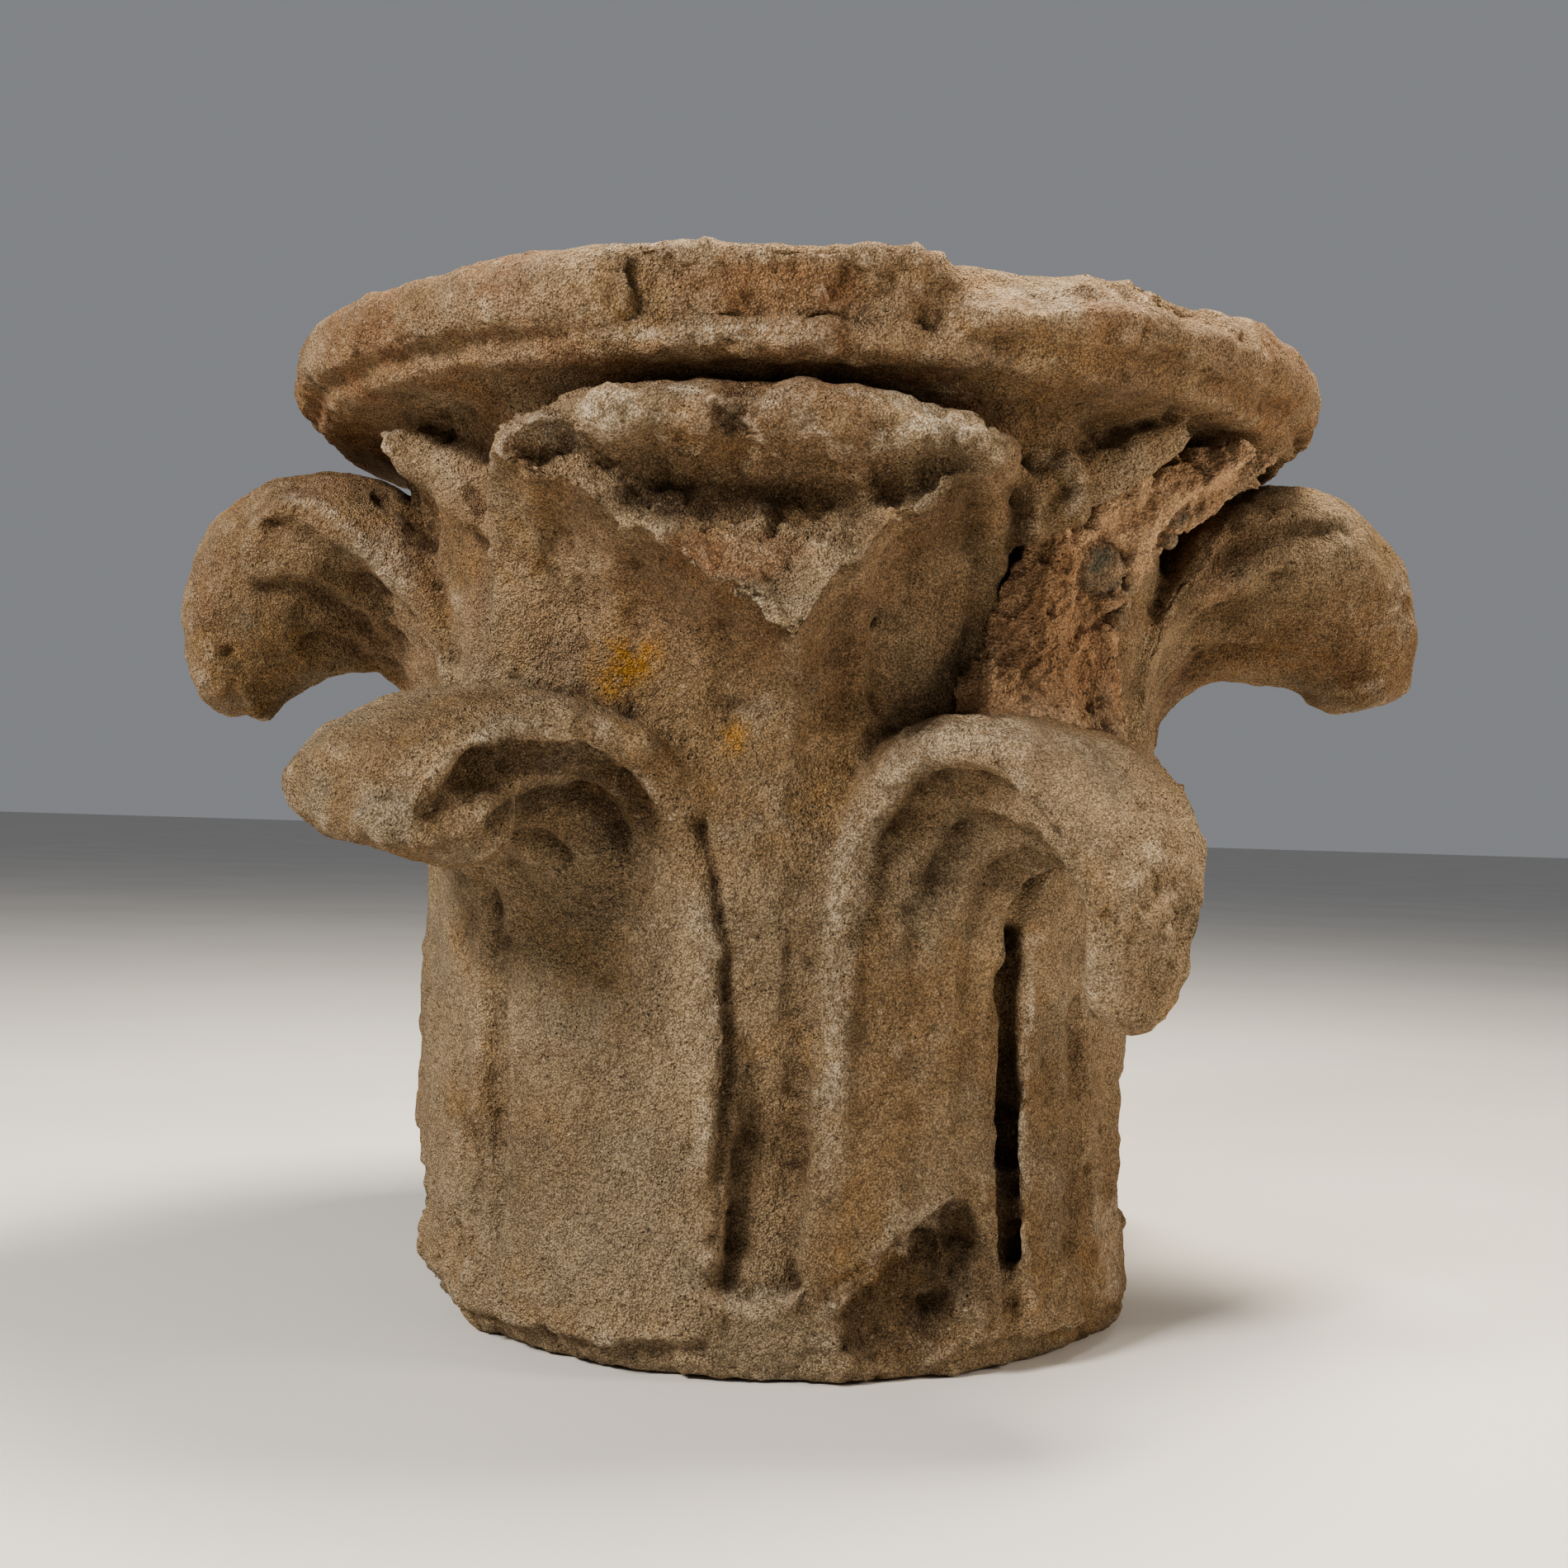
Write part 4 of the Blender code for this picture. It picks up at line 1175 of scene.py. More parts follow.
@dataclass
class CarvedStone:
    """The whole carved block: core, leaves and stalks in one skin, weathered, broken and dressed."""

    core: TurnedCore = field(default_factory=TurnedCore)
    finish: StoneFinish = StoneFinish(
        name="Limestone",
        ground=(0.325, 0.240, 0.148),
        shade=(0.225, 0.150, 0.080),
        stain=(0.330, 0.165, 0.030),
        # The pale colour also lights painted highlights, and the darkest colour paints shade in creases and hollows.
        fresh_and_highlight=(0.620, 0.515, 0.385),
        grey=(0.235, 0.190, 0.130),
        dirt=(0.060, 0.035, 0.018),
    )
    view: FrontView = field(default_factory=FrontView)
    voxel: float = 0.0020
    triangles: int = 194000
    strokes: tuple[Stroke, ...] = (
        Stroke(Cut.STEP, 0.020, 0.0120, LOW_LEFT_RIM_EDGE, fade=0.20),
        Stroke(Cut.STEP, 0.014, 0.0080, LOW_LEFT_SECOND_EDGE, fade=0.15),
        Stroke(Cut.STEP, 0.010, 0.0060, LOW_LEFT_THIRD_EDGE, fade=0.15),
        Stroke(Cut.STEP, 0.010, 0.0030, LOW_LEFT_FOLD_EDGE),
        Stroke(Cut.RIDGE, 0.0075, 0.0014, LOW_LEFT_BAND),
        Stroke(Cut.GROOVE, 0.0030, 0.0014, LOW_LEFT_FAR_LINE),
        Stroke(Cut.GROOVE, 0.0030, 0.0085, LOW_LEFT_SHADOW_LINE, fade=0.04),
        Stroke(Cut.RIDGE, 0.0050, 0.0022, UPPER_LEFT_RIB, fade=0.08),
        Stroke(Cut.STEP, 0.015, 0.0050, UPPER_LEFT_FIRST_EDGE),
        Stroke(Cut.STEP, 0.014, 0.0048, UPPER_LEFT_SECOND_EDGE),
        Stroke(Cut.STEP, 0.011, 0.0040, UPPER_LEFT_THIRD_EDGE),
        Stroke(Cut.RIDGE, 0.0050, 0.0016, UPPER_LEFT_FLANK_RIB),
        Stroke(Cut.GROOVE, 0.0042, 0.0030, LEFT_FIRST_PIT, fade=0.3),
        Stroke(Cut.GROOVE, 0.0042, 0.0050, LEFT_SECOND_PIT, fade=0.3),
        Stroke(Cut.GROOVE, 0.0042, 0.0055, LEFT_THIRD_PIT, fade=0.3),
        Stroke(Cut.STEP, 0.018, 0.0050, UPPER_RIGHT_CROWN_EDGE, fade=0.20),
        Stroke(Cut.STEP, 0.012, 0.0034, UPPER_RIGHT_MIDDLE_EDGE, fade=0.25),
        Stroke(Cut.STEP, 0.011, 0.0036, UPPER_RIGHT_LOWER_EDGE, fade=0.20),
        Stroke(Cut.RIDGE, 0.0045, 0.0040, SMALL_SCROLL, fade=0.10),
        Stroke(Cut.RIDGE, 0.0120, 0.0020, LOW_LEFT_BORDER),
        Stroke(Cut.RIDGE, 0.0125, 0.0032, LOW_RIGHT_ROLL, fade=0.08),
        Stroke(Cut.GROOVE, 0.0045, 0.0120, LOW_RIGHT_SLIT, wander=0.0004, fade=0.05),
        Stroke(Cut.RIDGE, 0.0026, 0.0030, LOW_RIGHT_THIN_RIDGE),
        Stroke(Cut.GROOVE, 0.0040, 0.0030, LOW_RIGHT_FAR_GROOVE),
        Stroke(Cut.GROOVE, 0.0080, 0.0035, GAP_FOOT_SCOOP, fade=0.20),
        Stroke(Cut.RIDGE, 0.0045, 0.0022, GAP_FOOT_LIP, fade=0.20),
        Stroke(Cut.STEP, 0.016, 0.0022, FRONT_LEFT_RIB),
        Stroke(Cut.STEP, 0.018, 0.0024, FRONT_MIDDLE_RIB),
        Stroke(Cut.STEP, 0.014, 0.0022, FRONT_RIGHT_RIB),
        Stroke(Cut.STEP, 0.012, 0.0030, FRONT_SHADED_RIB),
        Stroke(Cut.GROOVE, 0.0060, 0.0070, FRONT_RIGHT_SLOT, fade=0.08),
        Stroke(Cut.GROOVE, 0.0022, 0.0030, ABACUS_CRACK),
        Stroke(Cut.RIDGE, 0.0050, 0.0026, ABACUS_LEDGE, wander=0.0022),
        Stroke(Cut.STEP, 0.030, 0.0040, ABACUS_STUB, wander=0.0030),
        Stroke(Cut.GROOVE, 0.0110, 0.0060, CURL_NOTCH, wander=0.0025, fade=0.30),
        Stroke(Cut.GROOVE, 0.0100, 0.0040, CURL_SECOND_NOTCH, wander=0.0025, fade=0.30),
        Stroke(Cut.STEP, 0.042, 0.0120, FOOT_BREAK_EDGE, lap=0.0035, wander=0.0035, fade=0.08),
        Stroke(Cut.STEP, 0.016, 0.0060, FOOT_BREAK_STEP, wander=0.0035),
    )
    marks: tuple[Mark, ...] = (
        # Paler worn stone and painted highlights on the parts that catch the light: the curl's top band, the abacus's
        # ledge and break, and the rolled borders.
        Mark(Weather.WEAR_AND_HIGHLIGHT, 1060.0, 508.0, 100.0, 52.0, 1.0),
        Mark(Weather.WEAR_AND_HIGHLIGHT, 1150.0, 500.0, 60.0, 40.0, 0.9),
        Mark(Weather.WEAR_AND_HIGHLIGHT, 940.0, 500.0, 100.0, 34.0, 0.75),
        Mark(Weather.WEAR_AND_HIGHLIGHT, 690.0, 512.0, 90.0, 40.0, 0.9),
        Mark(Weather.WEAR_AND_HIGHLIGHT, 800.0, 485.0, 110.0, 30.0, 0.85),
        Mark(Weather.WEAR_AND_HIGHLIGHT, 470.0, 690.0, 40.0, 70.0, 0.4),
        Mark(Weather.WEAR_AND_HIGHLIGHT, 860.0, 405.0, 190.0, 14.0, 0.7),
        Mark(Weather.WEAR_AND_HIGHLIGHT, 1300.0, 362.0, 170.0, 26.0, 0.45),
        Mark(Weather.WEAR_AND_HIGHLIGHT, 470.0, 965.0, 60.0, 60.0, 0.2),
        Mark(Weather.WEAR_AND_HIGHLIGHT, 1010.0, 1260.0, 16.0, 90.0, 0.8),
        Mark(Weather.WEAR_AND_HIGHLIGHT, 910.0, 1572.0, 75.0, 18.0, 0.8),
        Mark(Weather.WEAR_AND_HIGHLIGHT, 1340.0, 1500.0, 26.0, 150.0, 0.45),
        Mark(Weather.WEAR_AND_HIGHLIGHT, 1400.0, 1050.0, 40.0, 60.0, 0.5),
        Mark(Weather.WEAR_AND_HIGHLIGHT, 1700.0, 725.0, 26.0, 60.0, 0.45),
        Mark(Weather.WEAR_AND_HIGHLIGHT, 640.0, 900.0, 150.0, 40.0, 0.35),
        Mark(Weather.WEAR_AND_HIGHLIGHT, 1200.0, 900.0, 130.0, 26.0, 0.35),
        Mark(Weather.OCHRE, 760.0, 810.0, 60.0, 70.0, 0.95),
        Mark(Weather.OCHRE, 890.0, 890.0, 28.0, 34.0, 0.8),
        Mark(Weather.OCHRE, 640.0, 720.0, 50.0, 90.0, 0.4),
        Mark(Weather.OCHRE, 1060.0, 1540.0, 90.0, 60.0, 0.45),
        Mark(Weather.RUST, 930.0, 350.0, 190.0, 50.0, 0.7),
        Mark(Weather.RUST, 890.0, 670.0, 130.0, 45.0, 0.7),
        Mark(Weather.RUST, 915.0, 500.0, 34.0, 26.0, 0.6),
        Mark(Weather.RUST, 1000.0, 450.0, 260.0, 36.0, 0.5),
        Mark(Weather.GREY, 470.0, 990.0, 60.0, 50.0, 0.7),
        Mark(Weather.GREY, 1120.0, 1000.0, 110.0, 160.0, 0.55),
        Mark(Weather.GREY, 720.0, 1200.0, 140.0, 300.0, 0.35),
        # Painted shade in the recess under the broken curl and over the shaded right half of the front leaf.
        Mark(Weather.DARK, 860.0, 605.0, 190.0, 34.0, 0.85),
        Mark(Weather.DARK, 1150.0, 600.0, 60.0, 110.0, 0.45),
        Mark(Weather.ROUGH, 1110.0, 1565.0, 140.0, 100.0, 1.0),
        Mark(Weather.ROUGH, 1405.0, 1115.0, 70.0, 145.0, 0.95),
        Mark(Weather.ROUGH, 500.0, 985.0, 120.0, 70.0, 0.85),
        Mark(Weather.ROUGH, 560.0, 1460.0, 45.0, 180.0, 0.8),
        Mark(Weather.ROUGH, 1700.0, 740.0, 30.0, 60.0, 0.7),
    )
    losses: tuple[Loss, ...] = (
        Loss(14.0, 0.022, 0.028, (0.036, 0.034, 0.031), 6),
        Loss(22.0, 0.026, 0.020, (0.024, 0.036, 0.024), 19),
        Loss(-26.5, 0.086, 0.342, (0.020, 0.030, 0.020), 8),
        Loss(18.5, 0.072, 0.342, (0.016, 0.026, 0.018), 9),
        Loss(-5.0, 0.068, 0.3475, (0.014, 0.020, 0.0095), 12),
        Loss(-82.0, 0.020, 0.040, (0.070, 0.033, 0.036), 21),
        Loss(-70.0, 0.022, 0.004, (0.075, 0.036, 0.022), 4),
        Loss(84.0, 0.022, 0.010, (0.075, 0.034, 0.032), 33),
    )

    lumps: tuple[Lump, ...] = (
        Lump(-35.0, 0.2150, 0.2000, (0.026, 0.024, 0.0175), lean=12.0),
        Lump(34.0, 0.1690, 0.3150, (0.0065, 0.0100, 0.0065), boxiness=0.9),
    )

    def leaves(self) -> list[Leaf]:
        """The four leaves of each tier, from the values of their lines."""
        bell = self.core.bell
        foot = self.core.abacus_foot
        side = Leaf(
            bearing=-90.0,
            back=Line(-0.027, 0.060, 0.061, foot - 0.0697, 0.057, 0.069, -36.0),
            border=Line(-0.011, 0.060, 0.064, foot - 0.1057, 0.064, 0.037, 16.0),
            midrib=Line(0.001, 0.050, 0.059, foot - 0.1337, 0.038, 0.038, 30.0),
            left_widths=(0.070, 0.078, 0.068, 0.030),
            right_widths=(0.070, 0.078, 0.068, 0.030),
            bell=bell,
            flute_depth=0.0045,
            flute_start=(0.10, 0.40),
            flute_end=(0.55, 0.82),
            end_roundness=1.5,
            tip_round=0.006,
            midrib_gap=0.0,
            midrib_depth=0.0,
        )
        front = BrokenLeaf(
            bearing=0.0,
            back=Line(-0.039, 0.050, 0.066, foot - 0.0747, 0.085, 0.057, 80.0),
            border=Line(-0.006, 0.030, 0.074, foot - 0.0997, 0.092, 0.060, 92.0),
            midrib=Line(-0.005, 0.034, 0.065, foot - 0.1347, 0.046, 0.036, 68.0),
            left_widths=(0.045, 0.117, 0.112, 0.099),
            right_widths=(0.045, 0.078, 0.078, 0.066),
            bell=bell,
            left_hollow=0.25,
            right_hollow=0.75,
            flute_depth=0.0040,
            flute_end=(1.4, 1.6),
            end_roundness=None,
            root_flute=0.10,
            midrib_gap=0.0,
            midrib_depth=0.0,
        )
        right = replace(
            side,
            bearing=90.0,
            back=Line(-0.027, 0.060, 0.063, foot - 0.0667, 0.059, 0.067, -20.0),
            midrib=Line(0.001, 0.050, 0.056, foot - 0.1297, 0.038, 0.046, 50.0),
        )
        plain = (0.22, 0.60)
        low_left = Leaf(
            bearing=-44.0,
            back=Line(-0.034, 0.020, 0.029, 0.145, 0.098, 0.103, 50.0),
            border=Line(-0.013, 0.016, 0.045, 0.174, 0.060, 0.056, 36.0),
            midrib=Line(0.017, 0.012, 0.051, 0.148, 0.034, 0.050, 54.0),
            left_widths=(0.099, 0.092, 0.060, 0.034),
            right_widths=(0.090, 0.090, 0.074, 0.050),
            bell=bell,
            flute_depth=0.0045,
            flute_start=(0.36, 0.62),
            flute_end=(0.86, 1.02),
            root_flute=0.05,
            curl_roundness=0.85,
            tip_round=0.010,
            edges=(0.20, 0.46, 0.72),
            midrib_gap=0.006,
            midrib_depth=0.006,
        )
        low_right = Leaf(
            bearing=35.0,
            back=Line(-0.034, 0.020, 0.016, 0.170, 0.069, 0.081, -24.0),
            border=Line(-0.009, 0.016, 0.045, 0.176, 0.053, 0.039, -26.0),
            midrib=Line(0.014, 0.012, 0.033, 0.158, 0.025, 0.027, -40.0),
            left_widths=(0.080, 0.076, 0.062, 0.034),
            right_widths=(0.080, 0.068, 0.026, 0.008),
            bell=bell,
            flute_depth=0.0075,
            flute_end=(0.80, 1.0),
            root_flute=0.30,
            curl_roundness=0.35,
            edges=(0.12, 0.41, 0.71),
            midrib_gap=0.006,
            midrib_depth=0.022,
        )
        return [
            front,
            side,
            right,
            replace(side, bearing=180.0, edges=plain, midrib_gap=0.003, midrib_depth=0.008),
            low_left,
            low_right,
            replace(low_left, bearing=-135.0, edges=plain),
            replace(low_right, bearing=135.0, right_widths=low_right.left_widths, midrib_depth=0.008, edges=plain),
        ]

    @staticmethod
    def stalks() -> list[Stalk]:
        """The stalks under the abacus."""
        return [
            Stalk((-34.0, 0.021, 0.0537), (-57.0, 0.046, 0.0167), 0.020, 0.009, 0.012),
            Stalk((28.0, 0.027, 0.0407), (47.0, 0.047, 0.0107), 0.011, 0.009, 0.011),
            Stalk((31.0, 0.027, 0.0427), (21.0, 0.037, 0.0227), 0.009, 0.007, 0.009),
            Stalk((130.0, 0.021, 0.0517), (146.0, 0.043, 0.0167), 0.018, 0.009, 0.008),
            Stalk((-130.0, 0.021, 0.0517), (-146.0, 0.043, 0.0167), 0.018, 0.009, 0.008),
        ]

    def carve(self) -> bpy.types.Object:
        """The carved form before its losses, in one even skin."""
        parts = [self.core.skin()]
        parts += [leaf.skin() for leaf in self.leaves()]
        parts += [stalk.skin(self.core) for stalk in self.stalks()]
        parts += [lump.skin() for lump in self.lumps]
        stone = make_mesh("limestone_capital", parts)
        reskin(stone, self.voxel)
        return stone

    def broken(self, points: Array) -> Array:
        """How far each point lies on a broken face of the abacus or the front leaf, from nought to one."""
        bearing, radius, height = round_the_axis(points)
        front = ease(bearing, -19.0, -16.0) * (1.0 - ease(bearing, 13.0, 16.0)) * ease(height, 0.356, 0.366)
        front = front * ease(radius, 0.196, 0.200) * (1.0 - ease(height, 0.3895, 0.3915))
        right = ease(bearing, 13.0, 16.0) * (1.0 - ease(bearing, 42.0, 46.0)) * ease(radius, 0.196, 0.201)
        right = right * ease(height, 0.3795, 0.3835) * (1.0 - ease(height, 0.3895, 0.3915))
        low = np.interp(
            points[:, 0],
            (-0.101, -0.088, -0.072, -0.061, -0.028, -0.012, 0.016, 0.021, 0.042, 0.060, 0.066),
            (0.309, 0.302, 0.299, 0.291, 0.270, 0.259, 0.280, 0.291, 0.310, 0.325, 0.319),
        )
        curl = ease(height - low, -0.004, 0.004) * ease(-points[:, 1], 0.168, 0.180) * (1.0 - ease(height, 0.336, 0.344))
        curl = curl * ease(points[:, 0], -0.108, -0.100) * (1.0 - ease(points[:, 0], 0.062, 0.072))
        return np.maximum.reduce([front * 0.7, right * 0.7, curl])

    def detail(self, stone: bpy.types.Object) -> None:
        """Carves the strokes and presses the losses in, then evens the skin.

        Args:
            stone: the carved form.
        """
        mesh = stone.data
        points = read_points(mesh)
        edges = read_edges(mesh)
        normals = settle(read_normals(mesh), edges, 3)
        normals /= np.maximum(np.linalg.norm(normals, axis=1), 0.1)[:, None]
        place, away = self.view.throw(points)
        seen = self.view.seen(points, normals)
        points = points + normals * (self.stroked(points, place, away / self.view.focal) * seen)[:, None]
        for loss in self.losses:
            points = loss.press(points, self.core.base_radius)[0]
        write_points(mesh, points)
        reskin(stone, self.voxel)

    def stroked(self, points: Array, place: Array, scale: Array) -> Array:
        """How far the strokes move each point outward, all added up.

        Args:
            points: the surface's points.
            place: their places on the sheet.
            scale: metres per sheet unit at each point.

        Returns:
            One move per point.
        """
        return sum(stroke.depths(points, place, scale, 100 + number) for number, stroke in enumerate(self.strokes))

    def weather(self, stone: bpy.types.Object) -> None:
        """Roughens the surface, wears its edges and thins the skin.

        The surface moves along its normal by wide and narrow clouds, deeper facets on broken faces, scattered pits,
        and a wear of the arrises that follows how far they stand out from the evened surface.

        Args:
            stone: the carved form with its strokes and losses.
        """
        mesh = stone.data
        points = read_points(mesh)
        edges = read_edges(mesh)
        normals = read_normals(mesh)
        points = settle(points, edges, 1, 0.5)
        rough = self.roughness(points, normals)
        bearing, radius, height = round_the_axis(points)
        stands_out = np.sum((points - settle(points, edges, 14)) * normals, axis=1)
        near_view = 1.0 - ease(points[:, 1], -0.02, 0.08)
        move = 0.0010 * cloud(points, 0.070, 1, 2) + 0.0006 * cloud(points, 0.020, 2, 2)
        move += 0.00065 * cloud(points, 0.0085, 4, 3) * near_view
        wear = ease(stands_out, 0.0002, 0.0013) * ease(cloud(points, 0.016, 5, 3), -0.05, 0.75)
        move -= wear * 0.0020
        pits, gap = chunks(points, 0.013, 90)
        move -= 0.0014 * (1.0 - ease(gap, 0.12, 0.30)) * (pits > 0.35) * (1.0 - rough) * near_view
        facets = 0.0027 * chunks(points, 0.021, 60)[0] + 0.0014 * chunks(points, 0.009, 61)[0]
        facets += 0.0008 * cloud(points, 0.0045, 7, 2) + 0.0018 * cloud(points, 0.030, 8, 2)
        move += rough * (facets - 0.0006)
        beds = np.maximum(ease(height, 0.3900, 0.3915) * (radius < 0.195), 1.0 - ease(height, 0.0005, 0.002))
        move *= 1.0 - 0.85 * beds
        points = points + normals * move[:, None]
        write_points(mesh, points)
        thin_out(stone, self.triangles)

    def roughness(self, points: Array, normals: Array) -> Array:
        """How far each point lies on broken stone: the breaks, the losses, the marked places and parts of the foot."""
        rough = self.broken(points)
        for loss in self.losses:
            rough = np.maximum(rough, loss.press(points, self.core.base_radius)[1])
        rough = np.maximum(rough, self.marked(points, normals, Weather.ROUGH))
        _, radius, height = round_the_axis(points)
        foot = (1.0 - ease(height, 0.006, 0.045)) * ease(cloud(points, 0.05, 3, 2), -0.3, 0.5)
        return np.maximum(rough, 0.55 * foot * ease(radius, 0.12, 0.14))

    def marked(self, points: Array, normals: Array, kind: Weather) -> Array:
        """The strongest mark of a kind at each point that is seen from the front."""
        place = self.view.throw(points)[0]
        masks = [mark.mask(place) for mark in self.marks if mark.kind is kind]
        return np.maximum.reduce(masks) * self.view.seen(points, normals)

    def dress(self, stone: bpy.types.Object) -> None:
        """Keeps the masks of wear, stain, painted shade and painted highlights on the surface and gives it its
        material.

        Args:
            stone: the weathered stone.
        """
        mesh = stone.data
        points = read_points(mesh)
        edges = read_edges(mesh)
        normals = read_normals(mesh)
        bearing, radius, height = round_the_axis(points)
        near = np.sum((points - settle(points, edges, 4)) * normals, axis=1)
        broad = np.sum((points - settle(points, edges, 36)) * normals, axis=1)
        speck = cloud(points, 0.012, 12, 3)
        patchy = cloud(points, 0.055, 13, 3)
        place, away = self.view.throw(points)
        stroked = self.stroked(points, place, away / self.view.focal) * self.view.seen(points, normals)
        # Paler worn edges and raised carving, and painted highlights from the marks.
        pale = 0.45 * ease(near + 0.35 * broad, 0.0005, 0.0026) * ease(speck, -0.5, 0.6)
        pale = np.maximum(pale, 0.45 * ease(stroked, 0.0006, 0.0028))
        pale = np.maximum(pale, self.marked(points, normals, Weather.WEAR_AND_HIGHLIGHT) * ease(speck, -0.7, 0.3))
        upper = ease(height, 0.16, 0.27)
        rust = upper * 0.30 * ease(patchy, -0.35, 0.7) + 0.25 * ease(height, 0.33, 0.36)
        rust = np.maximum(rust, self.marked(points, normals, Weather.RUST))
        ochre = 0.22 * ease(cloud(points, 0.03, 14, 3), 0.40, 0.95)
        ochre = np.maximum(ochre, self.marked(points, normals, Weather.OCHRE) * ease(speck, -0.8, 0.4))
        grey = np.maximum(0.5 * (1.0 - upper) * ease(patchy, -0.2, 0.8), self.marked(points, normals, Weather.GREY))
        # Painted shade: darker in hollows and creases, in the marked shaded recesses and on the floors of the carved
        # strokes.
        dirt = 0.85 * ease(-broad - 0.5 * near, 0.0008, 0.0060) + 0.40 * ease(-near, 0.0003, 0.0014)
        dirt *= 1.0 - 0.7 * self.roughness(points, normals)
        dirt = np.maximum(dirt, self.marked(points, normals, Weather.DARK))
        dirt = np.maximum(dirt, 0.60 * ease(-stroked, 0.0010, 0.0055))
        for name, values in (("pale", pale), ("rust", rust), ("ochre", ochre), ("grey", grey), ("dirt", dirt)):
            keep_attribute(stone, name, values)
        mesh.materials.clear()
        mesh.materials.append(StoneMaterial(self.finish).build())
        mesh.shade_smooth()

    def build(self) -> bpy.types.Object:
        """Carves, weathers and dresses the stone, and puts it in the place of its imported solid."""
        stone = self.carve()
        self.detail(stone)
        log.info("carved form: %d points", len(stone.data.vertices))
        self.weather(stone)
        low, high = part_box("capital")
        write_points(stone.data, np.clip(read_points(stone.data), np.array(low), np.array(high)))
        self.dress(stone)
        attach(stone, "root")
        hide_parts("capital")
        return stone


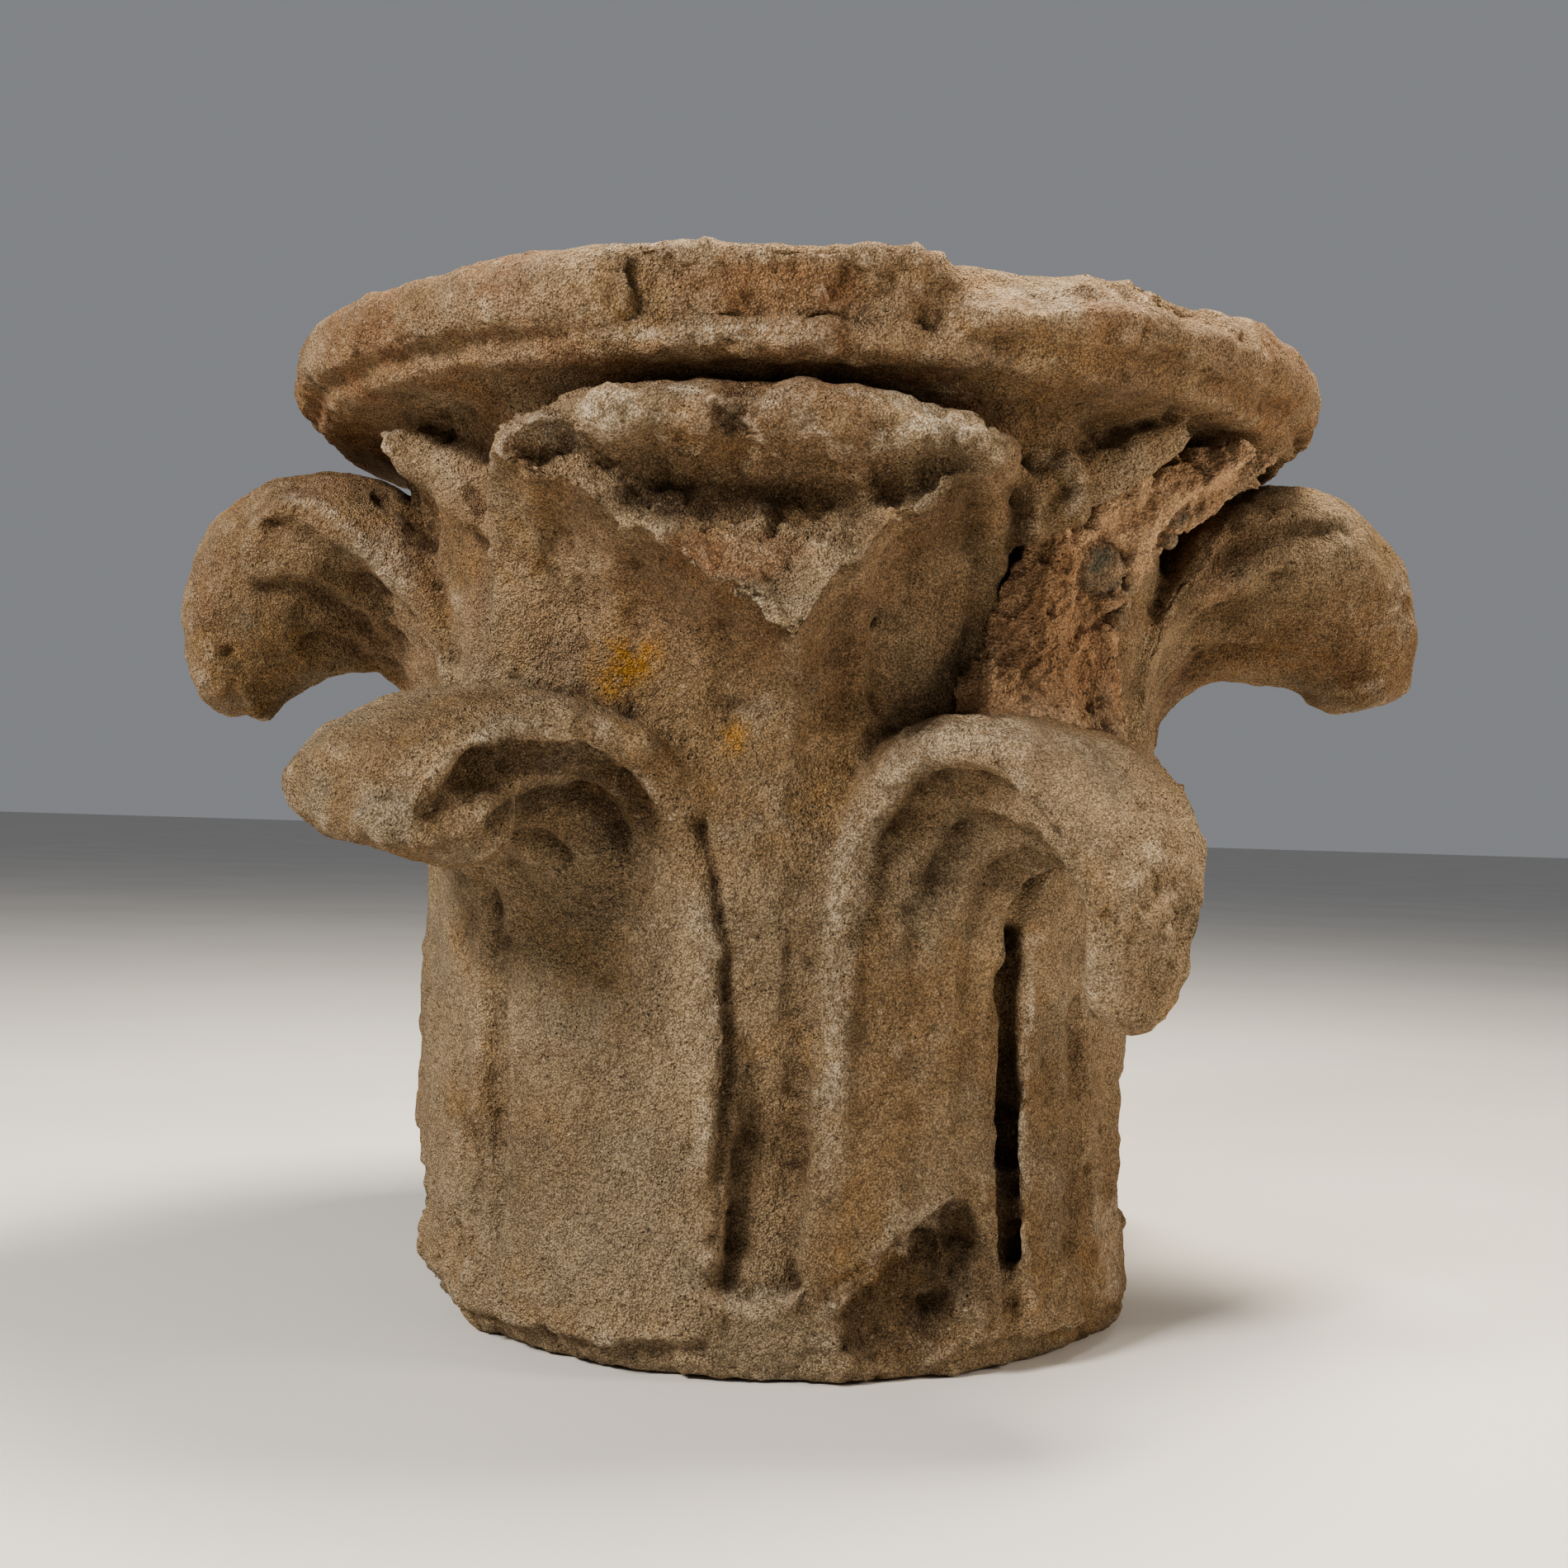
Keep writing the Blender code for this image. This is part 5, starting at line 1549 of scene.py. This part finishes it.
@dataclass
class OldMortar:
    """Old mortar with pebbles in it, left between the front leaf and the right one."""

    core: TurnedCore = field(default_factory=TurnedCore)
    foot_height: float = 0.221
    head_drop: float = 0.0097
    left_bearings: tuple[float, ...] = (20.0, 27.0, 33.0, 42.0, 54.0)
    right_bearings: tuple[float, float] = (45.0, 62.0)
    foot_reach: float = 0.049
    head_reach: float = 0.053
    hollow: float = 0.026
    head_bulge: float = 0.018
    voxel: float = 0.0011
    triangles: int = 90000
    finish: StoneFinish = StoneFinish(
        name="Old_mortar",
        ground=(0.520, 0.350, 0.215),
        shade=(0.420, 0.262, 0.150),
        stain=(0.360, 0.190, 0.080),
        # The pale colour also lights painted highlights, and the darkest colour paints shade in crevices.
        fresh_and_highlight=(0.560, 0.440, 0.300),
        grey=(0.130, 0.115, 0.085),
        dirt=(0.080, 0.040, 0.018),
        grain=1200.0,
        contrast=0.40,
    )
    view: FrontView = field(default_factory=FrontView)
    pebbles: tuple[tuple[float, float, float], ...] = (
        (1332.0, 690.0, 0.0100),
        (1427.0, 628.0, 0.0045),
        (1416.0, 654.0, 0.0040),
        (1366.0, 731.0, 0.0035),
        (1353.0, 750.0, 0.0045),
    )

    def pebble_places(self, points: Array, normals: Array) -> list[tuple[Array, float]]:
        """Where the pebbles sit: the seen point of the mortar nearest to each one's place on the view's sheet.

        Args:
            points: the mortar's points.
            normals: their outward directions.

        Returns:
            The centre and size of each pebble.
        """
        place = self.view.throw(points)[0]
        hidden = 400.0 * (self.view.seen(points, normals) < 0.1)
        nearest = [
            np.argmin(np.hypot(place[:, 0] - across, place[:, 1] - down) + hidden) for across, down, _ in self.pebbles
        ]
        return [(points[index], pebble[2]) for index, pebble in zip(nearest, self.pebbles)]

    def sheet(self) -> Array:
        """The mortar's face as a grid of bearing by rise: a hollow sloping face that bulges out at its upper right."""
        across = np.linspace(0.0, 1.0, 110)[:, None]
        rise = np.linspace(0.0, 1.0, 130)[None, :]
        left = np.interp(rise, (0.0, 0.4, 0.7, 0.85, 1.0), self.left_bearings)
        right = self.right_bearings[0] + (self.right_bearings[1] - self.right_bearings[0]) * rise**1.5
        bearing = left + (right - left) * across
        radius = self.core.bell + self.foot_reach + (self.head_reach - self.foot_reach) * rise
        radius = radius - self.hollow * np.sin(math.pi * np.minimum(1.0, rise * 1.05))
        radius = radius - 0.5 * self.hollow * (2.0 * across - 1.0) ** 4
        radius = radius + self.head_bulge * rise**2 * across
        radius = radius + 0.12 * self.hollow * np.sin(9.0 * rise + 14.0 * across)
        height = self.foot_height + (self.core.abacus_foot - self.head_drop - self.foot_height) * rise
        return on_stone(bearing, radius, height)

    def build(self) -> bpy.types.Object:
        """Makes the mortar's crumbled mass with its pebbles and dresses it."""
        face = self.sheet()
        rings = np.concatenate([face, face[:, ::-1] * np.array([0.80, 0.80, 1.0])], axis=1)
        mortar = make_mesh("old_mortar", [surface_of_rings(rings)])
        reskin(mortar, self.voxel)
        mesh = mortar.data
        points = read_points(mesh)
        normals = read_normals(mesh)
        crack, gap = chunks(points, 0.030, 23)
        crumbly = 0.25 + 0.75 * ease(cloud(points, 0.030, 27, 2), -0.15, 0.45)
        move = 0.0034 * crack + (0.0028 * chunks(points, 0.012, 24)[0] + 0.0015 * chunks(points, 0.0055, 25)[0]) * crumbly
        move += 0.0006 * cloud(points, 0.003, 26, 2)
        places = self.pebble_places(points, normals)
        for centre, size in places:
            away = np.linalg.norm(points - centre, axis=1)
            dome = 1.0 - ease(away, size * 0.8, size)
            move = move * (1.0 - dome) + dome * 0.0035 * np.sqrt(np.clip(1.0 - (away / (size * 1.1)) ** 2, 0.0, 1.0))
            move -= 0.002 * ease(away, size * 0.85, size) * (1.0 - ease(away, size, size * 1.25))
        write_points(mesh, points + normals * move[:, None])
        thin_out(mortar, self.triangles)
        mesh = mortar.data
        points = read_points(mesh)
        edges = read_edges(mesh)
        normals = read_normals(mesh)
        near = np.sum((points - settle(points, edges, 6)) * normals, axis=1)
        pebble = np.zeros(len(points))
        for centre, size in places:
            away = np.linalg.norm(points - centre, axis=1)
            pebble = np.maximum(pebble, 1.0 - ease(away, size * 0.95, size * 1.06))
        # Painted highlight on the lit shelf at the mortar's foot, with paler raised crumbs, and painted shade in its
        # crevices.
        shelf = 1.0 - ease(points[:, 2], self.foot_height + 0.008, self.foot_height + 0.028)
        keep_attribute(mortar, "pale", np.maximum(0.6 * ease(near, 0.0004, 0.0018), 0.85 * shelf) * (1.0 - pebble))
        keep_attribute(mortar, "dirt", 0.9 * ease(-near, 0.0004, 0.0024))
        keep_attribute(mortar, "grey", pebble)
        keep_attribute(mortar, "ochre", 0.3 * ease(cloud(points, 0.02, 8, 2), 0.0, 0.8) * (1.0 - pebble))
        keep_attribute(mortar, "rust", 0.15 * ease(cloud(points, 0.03, 9, 2), 0.0, 0.8) * (1.0 - pebble))
        mesh.materials.clear()
        mesh.materials.append(StoneMaterial(self.finish).build())
        mesh.shade_smooth()
        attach(mortar, "root")
        return mortar


@dataclass(frozen=True)
class Studio:
    """A plain pale floor under soft light."""

    floor_size: float = 40.0
    floor_colour: tuple[float, float, float] = (0.62, 0.60, 0.57)
    sky_colour: tuple[float, float, float] = (0.72, 0.74, 0.78)
    sky_strength: float = 0.30

    def softbox(self, name: str, place: tuple[float, float, float], size: float, power: float, colour: tuple[float, float, float]) -> None:
        """Hangs one soft light that faces the stone.

        Args:
            name: the light's name.
            place: where it hangs.
            size: its edge.
            power: its strength in watts.
            colour: its tint.
        """
        data = bpy.data.lights.new(name, "AREA")
        data.shape = "SQUARE"
        data.size = size
        data.energy = power
        data.color = colour
        lamp = bpy.data.objects.new(name, data)
        bpy.context.scene.collection.objects.link(lamp)
        lamp.location = place
        lamp.rotation_euler = (Vector((0.0, 0.0, 0.22)) - Vector(place)).to_track_quat("-Z", "Y").to_euler()

    def build(self) -> bpy.types.Object:
        """Lays the floor, hangs the lights and sets the sky.

        Returns:
            The floor.
        """
        half = self.floor_size / 2.0
        ticks = np.linspace(-half, half, 5)
        x, y = np.meshgrid(ticks, ticks)
        points = np.stack([x, y, np.full_like(x, -0.0004)], axis=-1).reshape(-1, 3)
        index = np.arange(25).reshape(5, 5)
        faces = np.stack([index[:-1, :-1], index[:-1, 1:], index[1:, 1:], index[1:, :-1]], axis=-1).reshape(-1, 4)
        mesh = bpy.data.meshes.new("floor")
        mesh.from_pydata(points.tolist(), [], faces.tolist())
        floor = bpy.data.objects.new("floor", mesh)
        bpy.context.scene.collection.objects.link(floor)
        material = bpy.data.materials.new("Floor_paint")
        material.use_nodes = True
        shader = material.node_tree.nodes["Principled BSDF"]
        sheet = Sheet(material.node_tree)
        place = sheet.add("ShaderNodeTexCoord").outputs["Object"]
        tone = sheet.span(sheet.noise(place, 3.0, 3.0), 0.3, 0.7, 0.97, 1.03)
        shade = sheet.add("ShaderNodeCombineColor", {0: tone, 1: tone, 2: tone}).outputs[0]
        colour = sheet.mix(1.0, (*self.floor_colour, 1.0), shade, "MULTIPLY")
        sheet.tree.links.new(colour, shader.inputs["Base Color"])
        shader.inputs["Roughness"].default_value = 0.8
        mesh.materials.append(material)
        self.softbox("key_softbox", (-1.15, -1.15, 1.20), 0.45, 46.0, (1.0, 0.96, 0.90))
        self.softbox("top_softbox", (0.35, 0.10, 1.6), 0.50, 46.0, (1.0, 0.90, 0.76))
        self.softbox("side_softbox", (1.6, -0.45, 0.75), 0.40, 15.0, (1.0, 0.86, 0.70))
        world = bpy.data.worlds.new("studio")
        bpy.context.scene.world = world
        world.use_nodes = True
        sky = world.node_tree.nodes["Background"]
        sky.inputs["Color"].default_value = (*self.sky_colour, 1.0)
        sky.inputs["Strength"].default_value = self.sky_strength
        bpy.context.scene.view_settings.view_transform = "AgX"
        bpy.context.scene.view_settings.look = "AgX - Medium High Contrast"
        return floor


def main() -> None:
    """Builds the camera, the studio, the stone and the mortar."""
    logging.basicConfig(level=logging.INFO, format="%(name)s: %(message)s")
    FrontView().build()
    Studio().build()
    core = TurnedCore()
    for maker in (CarvedStone(core), OldMortar(core)):
        piece = maker.build()
        log.info("%s: %d triangles", piece.name, sum(len(face.vertices) - 2 for face in piece.data.polygons))


if __name__ == "__main__":
    main()
